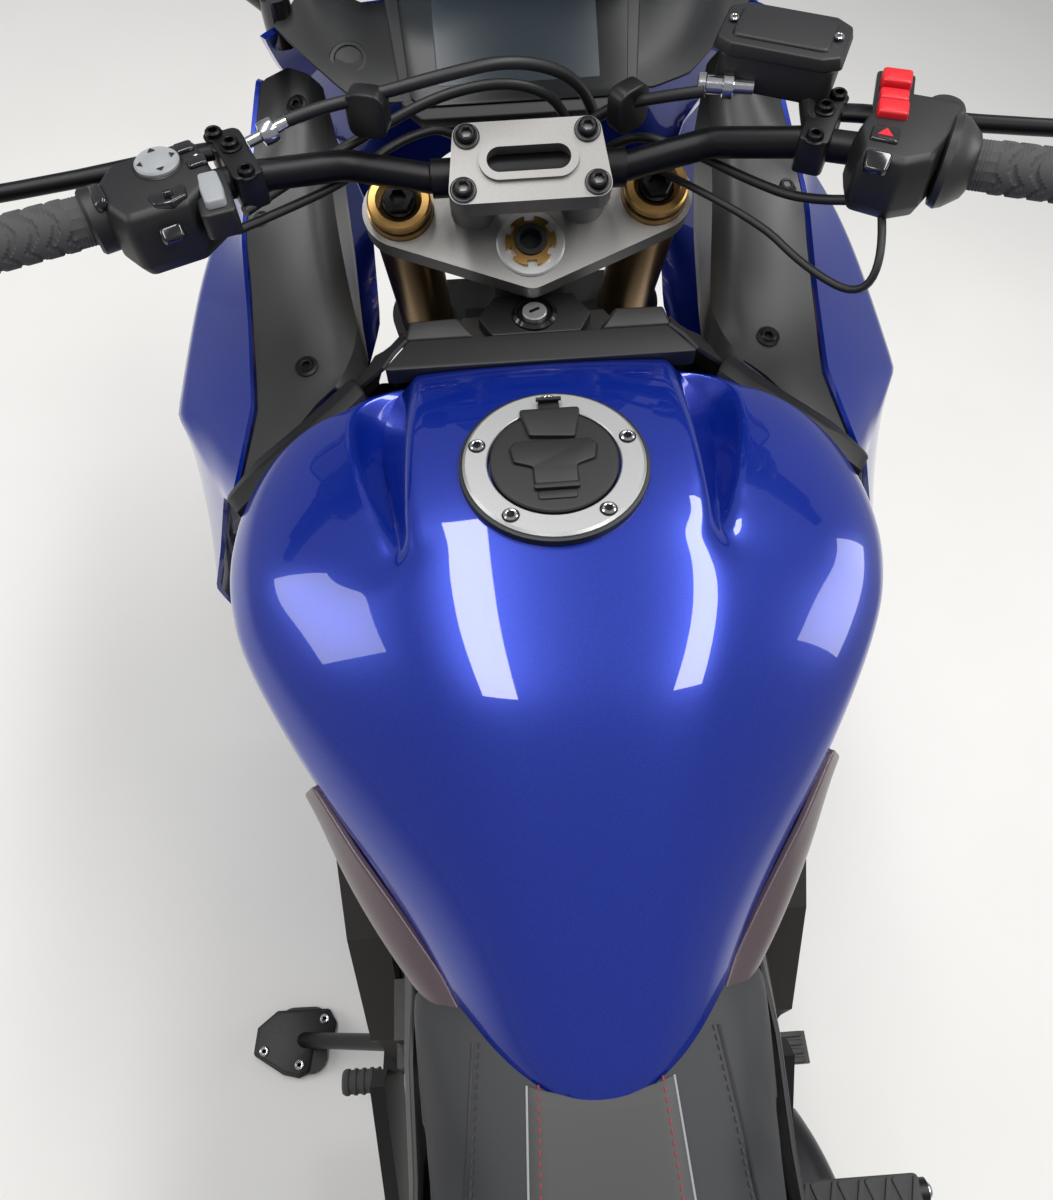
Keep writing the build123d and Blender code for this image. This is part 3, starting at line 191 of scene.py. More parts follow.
@listed
def metallic_blue_lacquer():
    """Automotive metallic paint under clear lacquer: deep blue with fine flake and a wet shine."""
    paint = bpy.context.scene.moto_paint
    tones = (paint.body_deep, paint.body_bright)
    coat = {"Coat_Weight": 1.0, "Coat_Roughness": 0.02}
    return grained("#01208c", 0.5, 0.3, (1.2, 6.0), tones, bump=(0.01, 0.15), **coat)


@listed
def satin_mauve_lacquer():
    """Satin metallic lacquer on the knee panels: grey with a mauve cast."""
    paint = bpy.context.scene.moto_paint
    tones = (paint.knee_deep, paint.knee_bright)
    return grained("#66595f", 0.4, 0.4, (1.0, 4.0), tones, Coat_Weight=0.4)


@listed
def powder_coated_frame():
    """Powder coat: dark grey-brown, slightly orange-peeled."""
    return grained("#2b2826", 0.25, 0.48, (2.0, 2.0), gloss=(0.42, 0.6), bump=(0.06, 0.4))


@listed
def crinkle_black_enamel():
    """Baked crinkle enamel on castings: near black with a fine rough skin."""
    return grained("#141415", 0.2, 0.56, (1.6, 5.0), gloss=(0.5, 0.7), bump=(0.12, 0.6))


@listed
def bead_blasted_aluminium():
    """Cast aluminium, bead blasted and clear anodised: an even satin silver with a warm cast."""
    return grained("#8a8885", 0.85, 0.46, (0.8, 4.0), ("#7c7a77", "#94928f"), bump=(0.04, 0.35))


@listed
def satin_ring_aluminium():
    """Turned and etched aluminium: pale satin silver."""
    return grained("#adadac", 0.8, 0.42, (0.7, 4.0), ("#a2a2a1", "#b8b8b7"))


@listed
def gold_anodised_aluminium():
    """Bronze-gold anodised aluminium: turned, with a soft sheen."""
    return grained("#a98550", 1.0, 0.33, (0.9, 4.0), gloss=(0.26, 0.4))


@listed
def polished_steel():
    """Ground and hard-chromed steel."""
    return grained("#c4c4c6", 1.0, 0.16, (4.0, 3.0), gloss=(0.12, 0.22))


@listed
def ground_disc_steel():
    """Stainless disc steel with a ground surface."""
    return grained("#a3a3a4", 1.0, 0.34, (1.0, 2.0), gloss=(0.28, 0.42))


@listed
def oiled_chain_steel():
    """Rolled chain steel under a film of oil."""
    return grained("#5c5a55", 1.0, 0.35, (6.0, 3.0), ("#4a4843", "#77756e"))


@listed
def heat_tinted_steel():
    """Stainless tube, straw-tinted by heat."""
    return grained("#8d7a66", 1.0, 0.3, (60.0, 3.0), ("#7b6a5a", "#a08c74"))


@listed
def brushed_silencer_steel():
    """Brushed steel can with a dark coat."""
    return grained("#3b3b3d", 0.9, 0.36, (1.0, 2.0, (0.05, 1, 1)), gloss=(0.3, 0.45))


@listed
def black_anodised_bar():
    """Hard-anodised bar: black with a soft silky shine."""
    return grained("#101012", 0.6, 0.34, (1.0, 3.0), gloss=(0.32, 0.45))


@listed
def satin_black_casting():
    """Cast parts in satin black paint."""
    return grained("#0e0e10", 0.3, 0.4, (1.5, 3.0), gloss=(0.36, 0.5), bump=(0.03, 0.3))


@listed
def moulded_black_abs():
    """Grained black ABS: dull, with a fine leather-like tool grain."""
    return grained("#0d0d0e", 0.0, 0.5, (0.9, 2.0), ("#0a0a0b", "#111113"), bump=(0.05, 0.5))


@listed
def cable_sheath():
    """Extruded cable sheath: smooth dull black."""
    return grained("#0a0a0b", 0.0, 0.42, (2.0, 2.0), gloss=(0.42, 0.55))


@listed
def gloss_black_plastic():
    """Polished black plastic."""
    return grained("#0d0d0f", 0.0, 0.18, (20.0, 2.0), gloss=(0.14, 0.24), Coat_Weight=0.5)


@listed
def grip_rubber():
    """Moulded grip rubber: matt charcoal."""
    return grained("#0c0c0d", 0.0, 0.66, (0.8, 3.0), bump=(0.05, 0.5))


@listed
def tyre_rubber():
    """Tyre rubber: matt near-black with a faint bloom."""
    return grained("#1b1b1c", 0.0, 0.82, (12.0, 4.0), ("#171718", "#222223"))


@listed
def seat_vinyl():
    """Coated seat vinyl: charcoal with a fine grain."""
    return grained("#17181b", 0.0, 0.58, (1.4, 3.0), bump=(0.12, 0.6), Sheen_Weight=0.1)


@listed
def seat_insert_vinyl():
    """The seat's centre insert: smooth lighter grey vinyl with a faint grain."""
    return grained(
        "#2b2a29", 0.0, 0.5, (1.0, 3.0), ("#282726", "#2f2e2d"), bump=(0.05, 0.4), Sheen_Weight=0.1
    )


@listed
def red_thread():
    """Twisted red sewing thread."""
    return grained("#7a1820", 0.0, 0.7, (0.6, 2.0), ("#6a121a", "#8a2029"), Sheen_Weight=0.3)


@listed
def black_thread():
    """Twisted black sewing thread."""
    return grained("#0f0f10", 0.0, 0.7, (0.6, 2.0), ("#0b0b0c", "#1a1a1c"), Sheen_Weight=0.3)


@listed
def clear_lamp_lens():
    """Clear polycarbonate lens."""
    return grained("#dfe6ea", 0.0, 0.05, (30.0, 2.0), gloss=(0.03, 0.08), Transmission_Weight=0.7)


@listed
def red_lamp_lens():
    """Red acrylic lens."""
    return grained("#8e0c10", 0.0, 0.12, (5.0, 2.0), ("#7c080c", "#a51216"), Coat_Weight=0.6)


@listed
def amber_lamp_lens():
    """Amber acrylic lens."""
    return grained("#c4600a", 0.0, 0.14, (5.0, 2.0), ("#b05206", "#d87214"), Coat_Weight=0.6)


@listed
def smoked_screen():
    """Lightly smoked polycarbonate windscreen."""
    return grained("#7d868c", 0.0, 0.06, (40.0, 2.0), gloss=(0.04, 0.09), Transmission_Weight=0.9)


@listed
def moulded_grey_abs():
    """Grained charcoal ABS of the inner fairing: a shade lighter and silkier than the black."""
    return grained("#2c2c2b", 0.15, 0.4, (0.9, 2.0), ("#262626", "#333332"), bump=(0.04, 0.4))


@listed
def grey_switch_plastic():
    """Mid-grey moulded switch caps, satin."""
    return grained("#8a8c8e", 0.0, 0.45, (0.8, 2.0), ("#828486", "#929496"))


@listed
def red_switch_plastic():
    """Bright red moulded switch, semi-gloss."""
    return grained("#c41420", 0.0, 0.32, (0.8, 2.0), ("#b8101b", "#cf1a26"))


@listed
def dark_display():
    """The unlit display behind its glass: blue-grey with a cold sheen."""
    return grained(
        "#232b32", 0.0, 0.24, (90.0, 1.0), ("#1a2026", "#2b353c"), Specular_IOR_Level=0.3
    )


@listed
def display_glass():
    """Dark display behind its cover glass."""
    return grained("#060709", 0.0, 0.22, (25.0, 2.0), gloss=(0.2, 0.28), Specular_IOR_Level=0.25)


@listed
def showroom_floor():
    """Pale sealed floor, plain."""
    return grained("#e4e2de", 0.0, 0.7, (400.0, 2.0), ("#e0deda", "#e8e6e2"))


def finish_named(name):
    """The material of that name, made at its first use."""
    made = bpy.data.materials.get(name)
    if not made:
        made = FINISH_MAKERS[name]()
        made.name = name
    return made


def wear(piece, name):
    """Gives a piece one finish all over."""
    piece.data.materials.clear()
    piece.data.materials.append(finish_named(name))


def shift(x=0.0, y=0.0, z=0.0, turn=0.0, axis="Z"):
    """A place in millimetres, turned by degrees about one axis."""
    return Matrix.Translation((x, y, z)) @ Matrix.Rotation(math.radians(turn), 4, axis)


# The machine's own millimetres, leaning on its stand, in the frame's metres
LEAN_DEGREES = -11.4
UPRIGHT = shift(0.02405, -0.200077, 0.0021514, LEAN_DEGREES, "X") @ Matrix.Scale(MM, 4)
# The steering's own millimetres: origin at the top of its stem, Z along its axis
RAKE_DEGREES = -25
STEERED = UPRIGHT @ shift(375.35, 0, 975) @ shift(turn=RAKE_DEGREES, axis="Y")
# The filler's own millimetres, on the tank's crown
CROWN_DEGREES = 2.3
FILLER = UPRIGHT @ shift(141.5, 0, 979) @ shift(turn=CROWN_DEGREES, axis="Y")
# Faces that meet at less than this are shaded smooth, edges above the other are bevelled
SMOOTH_DEGREES = 32
EDGE_DEGREES = 28
# The fork tubes' places in the steering's own millimetres
FORK_AHEAD, FORK_OUT = 35.74, 105


def alone(piece):
    """Makes a piece the only one selected, and the active one."""
    bpy.ops.object.select_all(action="DESELECT")
    piece.select_set(True)
    bpy.context.view_layer.objects.active = piece


def mend(piece, gap=0.02, filled=True):
    """Merges doubles, closes open ends and points every face outwards."""
    alone(piece)
    bpy.ops.object.mode_set(mode="EDIT")
    bpy.ops.mesh.select_all(action="SELECT")
    bpy.ops.mesh.remove_doubles(threshold=gap)
    if filled:
        bpy.ops.mesh.fill_holes(sides=0)
    bpy.ops.mesh.select_all(action="SELECT")
    bpy.ops.mesh.normals_make_consistent(inside=False)
    bpy.ops.object.mode_set(mode="OBJECT")


def modify(piece, kind, **settings):
    """Adds one modifier with its settings and applies it."""
    alone(piece)
    change = piece.modifiers.new(kind.lower(), kind)
    for key, value in settings.items():
        setattr(change, key, value)
    bpy.ops.object.modifier_apply(modifier=change.name)


def soften(piece, width, segments=2, angle=0.45):
    """Rounds the edges whose faces meet at more than an angle, in radians."""
    modify(piece, "BEVEL", width=width, segments=segments, limit_method="ANGLE", angle_limit=angle)


def skin(name, rows, crease=None):
    """A surface through rows of points: a grid whose crossings are moved to them.

    crease gives the sharpness of the line from one crossing to the next, by row, column and
    whether the line runs along the row.
    """
    across = len(rows[0])
    bpy.ops.object.select_all(action="DESELECT")
    bpy.ops.mesh.primitive_grid_add(
        x_subdivisions=across - 1, y_subdivisions=len(rows) - 1, size=1
    )
    piece = bpy.context.object
    piece.name = piece.data.name = name
    points = [point for row in rows for point in row]
    for vertex, point in zip(piece.data.vertices, points):
        vertex.co = point
    if crease:
        marks = piece.data.attributes.new("crease_edge", "FLOAT", "EDGE")
        for edge in piece.data.edges:
            row, column = divmod(min(edge.vertices), across)
            along = abs(edge.vertices[0] - edge.vertices[1]) == 1
            marks.data[edge.index].value = crease(row, column, along)
    return piece


def loft(name, loops, crease=None, filled=True):
    """A closed body through loops that have as many points each."""
    piece = skin(name, [[*loop, loop[0]] for loop in loops], crease)
    mend(piece, filled=filled)
    return piece


def smooth_body(name, loops, crease=None, levels=2):
    """A lofted body rounded by subdivision."""
    piece = loft(name, loops, crease)
    modify(piece, "SUBSURF", levels=levels, render_levels=levels)
    return piece


def panel(name, rows, thickness, crease=None, levels=2, rim=0.6):
    """A curved panel through rows of points, with its wall behind the surface, on both sides."""
    piece = skin(name, rows, crease)
    modify(piece, "SOLIDIFY", thickness=thickness, offset=-1, edge_crease_rim=rim)
    modify(piece, "SUBSURF", levels=levels, render_levels=levels)
    return piece


def both_sides(piece):
    """Adds the mirror image about the machine's middle plane."""
    modify(piece, "MIRROR", use_axis=(False, True, False), use_mirror_merge=False)
    return piece


def ring(radius, height, count=32, across=1.0):
    """A circle of points at a height, or an oval where across isn't 1."""
    steps = [2 * math.pi * i / count for i in range(count)]
    return [(radius * math.cos(a), across * radius * math.sin(a), height) for a in steps]


def hexagon(flat, height, count=24):
    """A hexagon of points at a height, flat being half its width across flats."""
    loop = []
    for i in range(count):
        a = 2 * math.pi * i / count
        off = (a + math.pi / 6) % (math.pi / 3) - math.pi / 6
        loop.append(
            (flat / math.cos(off) * math.cos(a), flat / math.cos(off) * math.sin(a), height)
        )
    return loop


def turned(name, profile, count=32):
    """A turned body through a profile of radius and height, closed where it ends at a face."""
    return loft(name, [ring(max(r, 0.001), z, count) for r, z in profile])


def turned_ring(name, profile, count=64):
    """A turned ring: the profile's last point joins its first."""
    return loft(name, [ring(r, z, count) for r, z in [*profile, profile[0]]], filled=False)


def rounded(corners, radius, steps=5):
    """An outline with its corners rounded, counter-clockwise; radius may be one per corner."""
    count = len(corners)
    radii = radius if isinstance(radius, (list, tuple)) else [radius] * count
    loop = []
    for i, corner in enumerate(corners):
        here = Vector(corner)
        to_last = (Vector(corners[i - 1]) - here).normalized()
        to_next = (Vector(corners[(i + 1) % count]) - here).normalized()
        half = to_last.angle(to_next) / 2
        reach = radii[i] / math.tan(half)
        start, end = here + to_last * reach, here + to_next * reach
        for k in range(steps):
            t = k / (steps - 1)
            loop.append(start * (1 - t) ** 2 + here * 2 * t * (1 - t) + end * t**2)
    return [(p.x, p.y) for p in loop]


def oblong(length, width, radius, steps=5):
    """A rounded rectangle's outline about its middle."""
    x, y = length / 2, width / 2
    return rounded([(x, y), (-x, y), (-x, -y), (x, -y)], radius, steps)


def slab(name, outline, low, high, bevel=0.0, draft=1.0, segments=3):
    """An outline raised between two heights; draft scales its top, bevel rounds its edges."""
    top = [(x * draft, y * draft, high) for x, y in outline]
    piece = loft(name, [[(x, y, low) for x, y in outline], top])
    if bevel:
        soften(piece, bevel, segments, math.radians(EDGE_DEGREES))
    return piece


def tube(name, points, radius, turns=3, resolution=5):
    """A round tube along a smooth line through the points' cage, its ends closed."""
    bpy.ops.object.select_all(action="DESELECT")
    curve = bpy.data.curves.new(name, "CURVE")
    curve.dimensions = "3D"
    line = curve.splines.new("NURBS")
    line.points.add(len(points) - 1)
    for knot, point in zip(line.points, points):
        knot.co = (*point, 1)
    line.order_u = turns
    line.use_endpoint_u = True
    curve.resolution_u = 6
    curve.bevel_depth = radius
    curve.bevel_resolution = resolution
    curve.use_fill_caps = True
    piece = bpy.data.objects.new(name, curve)
    bpy.context.scene.collection.objects.link(piece)
    alone(piece)
    bpy.ops.object.convert(target="MESH")
    mend(bpy.context.object, filled=False)
    return bpy.context.object


def joined(name, parts):
    """Several pieces made one."""
    bpy.ops.object.select_all(action="DESELECT")
    for part in parts:
        part.select_set(True)
    bpy.context.view_layer.objects.active = parts[0]
    if len(parts) > 1:
        bpy.ops.object.join()
    parts[0].name = parts[0].data.name = name
    return parts[0]


def moved(piece, place):
    """A piece's mesh taken to a place."""
    piece.data.transform(place)
    return piece


def copies(piece, places):
    """One piece repeated at each place, each copy with its own mesh, joined."""
    parts = []
    for place in places:
        copy = piece.copy()
        copy.data = piece.data.copy()
        copy.data.transform(place)
        bpy.context.scene.collection.objects.link(copy)
        parts.append(copy)
    name = piece.name
    bpy.data.objects.remove(piece)
    return joined(name, parts)


def fitted(piece, place, finish, body, replaced=(), angle=SMOOTH_DEGREES, slot=None):
    """Puts a piece in its place with its finish, on the body that it moves with."""
    piece.data.transform(place)
    alone(piece)
    bpy.ops.object.shade_smooth_by_angle(angle=math.radians(angle))
    wear(piece, finish)
    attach(piece, body)
    if replaced:
        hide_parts(*replaced)
    return piece


def on_frame(piece, finish, replaced=(), angle=SMOOTH_DEGREES, slot=None):
    """Fits a piece given in the machine's own millimetres, fixed to its frame."""
    return fitted(piece, UPRIGHT, finish, "frame", replaced, angle, slot)


def socket_bolt(name, radius, height, flat=0.5, flange=0.0):
    """A bolt head with a hexagon socket, standing on its seat at height 0."""
    chamfer = 0.18 * radius
    loops = []
    if flange:
        loops += [ring(flange, 0, 24), ring(flange, 1.2, 24), ring(radius * 1.04, 1.8, 24)]
    else:
        loops += [ring(radius, 0, 24)]
    loops += [
        ring(radius, height - chamfer, 24),
        ring(radius - chamfer, height, 24),
        ring(radius * 0.66, height, 24),
        hexagon(radius * flat, height - 0.3, 24),
        hexagon(radius * flat, height - 0.75 * radius, 24),
    ]
    return loft(name, loops)


class StageSettings(bpy.types.PropertyGroup):
    """Sizes and strengths of the stage."""

    floor_size: FloatProperty(
        name="Floor size", description="Side of the floor", default=14.0, unit="LENGTH"
    )
    key_power: FloatProperty(
        name="Key light", description="Power of the ceiling light", default=95.0
    )
    fill_power: FloatProperty(
        name="Fill light", description="Power of each side light", default=28.0
    )
    sky: FloatProperty(name="Sky", description="Strength of the even light all round", default=0.4)


class TankSettings(bpy.types.PropertyGroup):
    """How finely the tank's shell is rounded."""

    levels: IntProperty(
        name="Levels", description="Subdivision levels of the shell", default=3, min=1
    )


def colour_setting(name, description, code):
    """A colour that the user may change, its default given as a hex code."""
    default = linear(code)
    return FloatVectorProperty(
        name=name, description=description, default=default, size=4, subtype="COLOR"
    )


class PaintSettings(bpy.types.PropertyGroup):
    """Colours of the painted panels."""

    body_deep: colour_setting(
        "Body paint, deep", "Darker tone of the metallic body paint", "#001470"
    )
    body_bright: colour_setting(
        "Body paint, bright", "Lighter tone of the metallic body paint", "#0230a8"
    )
    knee_deep: colour_setting(
        "Knee panels, deep", "Darker tone of the knee panels' lacquer", "#4c4044"
    )
    knee_bright: colour_setting(
        "Knee panels, bright", "Lighter tone of the knee panels' lacquer", "#64555a"
    )


class MOTO_OT_stage(bpy.types.Operator):
    """Makes the floor, the lights and the photograph's camera."""

    bl_idname = "moto.stage"
    bl_label = "Stage"

    def execute(self, context):
        settings = context.scene.moto_stage
        bpy.ops.mesh.primitive_plane_add(size=settings.floor_size, location=(0, 0, 0))
        floor = context.object
        floor.name = "floor"
        wear(floor, "showroom_floor")
        world = bpy.data.worlds.new("showroom")
        context.scene.world = world
        world.use_nodes = True
        sky = world.node_tree.nodes["Background"]
        sky.inputs["Color"].default_value = linear("#eef1f5")
        sky.inputs["Strength"].default_value = settings.sky
        # Columns: name, place, size along and across, power, turn
        lamps = [
            (
                "ceiling_light_right",
                (0.3, -0.75, 3.1),
                2.8,
                0.45,
                settings.key_power * 0.55,
                (0, 0, 0),
            ),
            (
                "ceiling_light_left",
                (0.3, 0.85, 3.1),
                2.8,
                0.35,
                settings.key_power * 0.45,
                (0, 0, 0),
            ),
            ("left_light", (0.3, 3.0, 2.0), 1.6, 1.2, settings.fill_power, (-60, 0, 0)),
            ("right_light", (0.3, -3.0, 2.0), 1.6, 1.2, settings.fill_power, (60, 0, 0)),
        ]
        for name, place, along, across, power, turn in lamps:
            bpy.ops.object.light_add(type="AREA", location=place)
            lamp = context.object
            lamp.name = name
            lamp.data.shape = "RECTANGLE"
            lamp.data.size = along
            lamp.data.size_y = across
            lamp.data.energy = power
            lamp.rotation_euler = [math.radians(a) for a in turn]
        turn = [math.radians(a) for a in CAMERA_TURN]
        bpy.ops.object.camera_add(location=CAMERA_PLACE, rotation=turn)
        context.object.data.lens = CAMERA_LENS
        context.scene.camera = context.object
        context.scene.view_settings.view_transform = "Standard"
        return {"FINISHED"}


class MOTO_OT_finishes(bpy.types.Operator):
    """Gives every CAD node its finish."""

    bl_idname = "moto.finishes"
    bl_label = "Finishes"

    def execute(self, context):
        for name, nodes in NODE_FINISHES.items():
            for node in nodes:
                wear(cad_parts[node], name)
        return {"FINISHED"}


# Tank sections: X, crown, then half-width and height of the plateau's edge, the groove's floor,
# the groove's outer edge, the widest line and the lower edge
GROOVED_SECTIONS = [
    (263.5, 949, (98, 945), (105, 930), (112, 930), (150, 912), (108, 850)),
    (258, 953, (99, 949), (116, 929), (126, 932), (178, 912), (120, 835)),
    (240, 961, (100, 957), (126, 920), (152, 938), (205, 911), (150, 812)),
    (200, 970, (101.5, 966), (129, 926), (148, 947), (232, 905), (194, 785)),
    (160, 975, (102.5, 971), (122, 937), (138, 955), (245, 902), (208, 774)),
    (115, 977.5, (103, 973.5), (113.5, 952), (125, 963), (249, 898), (214, 770)),
    (82, 977.5, (101, 973), (106, 965.5), (114, 966), (243, 895), (210, 770)),
]
# The same without a groove: X, crown, plateau's edge, widest line, lower edge
SMOOTH_SECTIONS = [
    (58, 975, (99, 970), (236, 892), (203, 770)),
    (20, 966, (94, 961), (217, 886), (194, 770)),
    (-22, 951, (84, 945), (192, 874), (176, 770)),
    (-70, 924, (71, 917), (161, 853), (156, 770)),
    (-120, 895, (58, 888), (126, 828), (122, 768)),
    (-170, 866, (48, 859), (97, 807), (94, 766)),
    (-212, 841, (40, 835), (80, 796), (76, 765)),
    (-236, 827, (31, 822), (62, 789), (58, 764.5)),
    (-247, 818, (19, 815), (38, 786), (35, 764)),
]
TANK_COLUMNS = 11


def between(start, end, out, down):
    """A point part of the way from one half-section point to the next."""
    return (start[0] + out * (end[0] - start[0]), start[1] + down * (end[1] - start[1]))


def tank_half(section):
    """Half of one tank section from the crown out and down to the middle of its floor."""
    x, crown, edge, *groove, widest, low = section
    if groove:
        floor, lip = groove
        shoulder = [floor, lip, between(lip, widest, 0.5, 0.24), between(lip, widest, 0.84, 0.58)]
    else:
        steps = ((0.15, 0.07), (0.34, 0.19), (0.62, 0.42), (0.87, 0.72))
        shoulder = [between(edge, widest, out, down) for out, down in steps]
    half = [
        (0, crown), (edge[0] * 0.62, crown + 0.25 * (edge[1] - crown)), edge, *shoulder, widest
    ]
    half += [between(widest, low, 0.2, 0.45), low, (0, low[1])]
    return [(x, y, z) for y, z in half]


def tank_sharpness(row, column, along):
    """How sharp the tank's lines are: plateau, groove and lower edge, and the front lip."""
    column = min(column, 2 * (TANK_COLUMNS - 1) - column)
    front = len(GROOVED_SECTIONS) - 1
    if along:
        return 0.85 if row == 0 else 0.45 if row == len(GROOVED_SECTIONS) + len(
            SMOOTH_SECTIONS
        ) - 1 else 0.0
    fade = max(0.0, min(1.0, (front - row) / 2.5))
    lines = {2: 0.85 * fade + 0.1, 3: 1.0 * fade, 4: 0.8 * fade, 7: 0.35, 9: 0.9}
    return lines.get(column, 0.0)


class MOTO_OT_tank(bpy.types.Operator):
    """Makes the tank: a lacquered shell with a flat crown between two grooves."""

    bl_idname = "moto.tank"
    bl_label = "Tank"

    def execute(self, context):
        loops = []
        for section in GROOVED_SECTIONS + SMOOTH_SECTIONS:
            half = tank_half(section)
            loops.append(half + [(x, -y, z) for x, y, z in half[-2:0:-1]])
        shell = smooth_body("tank_shell", loops, tank_sharpness, context.scene.moto_tank.levels)
        on_frame(shell, "metallic_blue_lacquer", ["fuel_tank"], 50, "body_paint")
        return {"FINISHED"}


class MOTO_OT_filler(bpy.types.Operator):
    """Makes the filler ring with its bolts and the hinged lid with its key flap."""

    bl_idname = "moto.filler"
    bl_label = "Filler and lid"

    def execute(self, context):
        profile = [(46.5, -4), (46.5, 3.0), (47.2, 3.6), (61.6, 3.6), (63.6, 2.2), (64, -4)]
        rim = turned_ring("filler_ring_turned", profile)
        fitted(rim, FILLER, "satin_ring_aluminium", "frame", ["filler_ring"], 25)
        # A thin black band round the filler ring's foot: painted shade where the ring sits on the
        # tank.
        shade = turned_ring("filler_ring_shade_band", [(64, -5), (64, 0.9), (66.2, 0.5), (66.4, -5)])
        fitted(shade, FILLER, "cable_sheath", "frame")
        places = [shift(turn=72 * i) @ shift(55.4, 0, 3.6) for i in range(5)]
        # Black discs a little wider than each bolt head: painted shade in the bolts' counterbores.
        bolt_shade_rings = copies(
            turned("filler_bolt_shade_rings", [(6.1, -1), (6.1, 0.25), (5.5, 0.3)], 24), places
        )
        fitted(bolt_shade_rings, FILLER, "black_anodised_bar", "frame")
        bolts = copies(socket_bolt("filler_bolts", 5.0, 2.2, 0.52), places)
        fitted(bolts, FILLER, "polished_steel", "frame", angle=25)
        disc = turned(
            "filler_lid_disc", [(44.6, -2), (44.6, 3.2), (43.6, 4.2), (40.2, 4.6), (0.01, 5.0)], 72
        )
        hinge = slab(
            "hinge_wedge", rounded([(46, -22), (17, -16), (20, 16), (46, 22)], 3), 2, 8.4, 1.2
        )
        for vertex in hinge.data.vertices:
            vertex.co.z -= max(0.0, vertex.co.x - 22) * 0.06 if vertex.co.z > 4 else 0
        flap_line = [
            (16, -26), (10, -30), (-2, -28), (-7, -15), (-22, -15), (-22, 15), (-7, 15), (-2, 28),
            (10, 30), (16, 26),
        ]
        flap = slab("key_flap", rounded(flap_line, 2.2, 3), 3, 7.2, 0.9)
        frame_line = [(x + 0.2 * (1 if x > 0 else -1), y * 1.045) for x, y in flap_line]
        gap = slab("flap_gap", rounded(frame_line, 2.4, 3), 4.2, 5.15)
        ridge = slab("flap_ridge", [(x - 24.6, y) for x, y in oblong(4.4, 31, 1.6)], 4, 8.0, 0.9)
        thumb = slab("thumb_sill", [(x - 31, y) for x, y in oblong(7, 27, 3)], 4, 5.9, 0.8)
        lid = joined("filler_lid_moulding", [disc, hinge, flap, ridge, thumb])
        fitted(lid, FILLER, "moulded_black_abs", "filler_lid", ["filler_lid"])
        fitted(gap, FILLER, "gloss_black_plastic", "filler_lid")
        pins = tube("lid_hinge_pin", [(53, -9, 8), (53, 0, 8), (53, 9, 8)], 1.6)
        leaf = slab("lid_hinge_leaf", oblong(15, 15, 2), 4.2, 6.0, 0.6)
        moved(leaf, shift(47, 0, 0))
        fitted(joined("lid_hinge", [pins, leaf]), FILLER, "satin_black_casting", "filler_lid")
        return {"FINISHED"}


class MOTO_OT_steering_head(bpy.types.Operator):
    """Makes the fork caps, the stem's ring and hollow, and the bar clamp's bolts."""

    bl_idname = "moto.steering_head"
    bl_label = "Steering head"

    def execute(self, context):
        cap = [(26, 2), (26, 7.5), (24.5, 9), (19, 9), (17.6, 7.8), (14.4, 5.6), (13.6, 3)]
        places = [shift(FORK_AHEAD, side * FORK_OUT, 0) for side in (1, -1)]
        rims = copies(turned_ring("fork_cap_rims", [*cap, (13.6, 2)]), places)
        fitted(rims, STEERED, "gold_anodised_aluminium", "steering", ["fork_caps"], 25)
        plug = loft(
            "fork_cap_plugs",
            [
                ring(13.5, 2, 24),
                ring(13.5, 6.2, 24),
                hexagon(11.2, 7.0),
                hexagon(11.2, 12.4),
                hexagon(10.4, 13.2),
                hexagon(6, 13.2),
                hexagon(6, 8.5),
            ],
        )
        fitted(copies(plug, places), STEERED, "black_anodised_bar", "steering", angle=25)
        collar = [(13.2, -10), (13.2, -6.6), (15, -5.6), (27, -5.6), (28.4, -6.6), (28.4, -10)]
        fitted(
            turned_ring("stem_collar", collar),
            STEERED,
            "satin_ring_aluminium",
            "steering",
            angle=25,
        )
        spots = [(12, 51), (12, -51), (54, 46), (54, -46)]
        places = [shift(x, y, 61) for x, y in spots]
        bolts = copies(socket_bolt("bar_clamp_bolts", 7.2, 6.5, 0.52, flange=10.2), places)
        fitted(bolts, STEERED, "black_anodised_bar", "steering", angle=25)
        return {"FINISHED"}


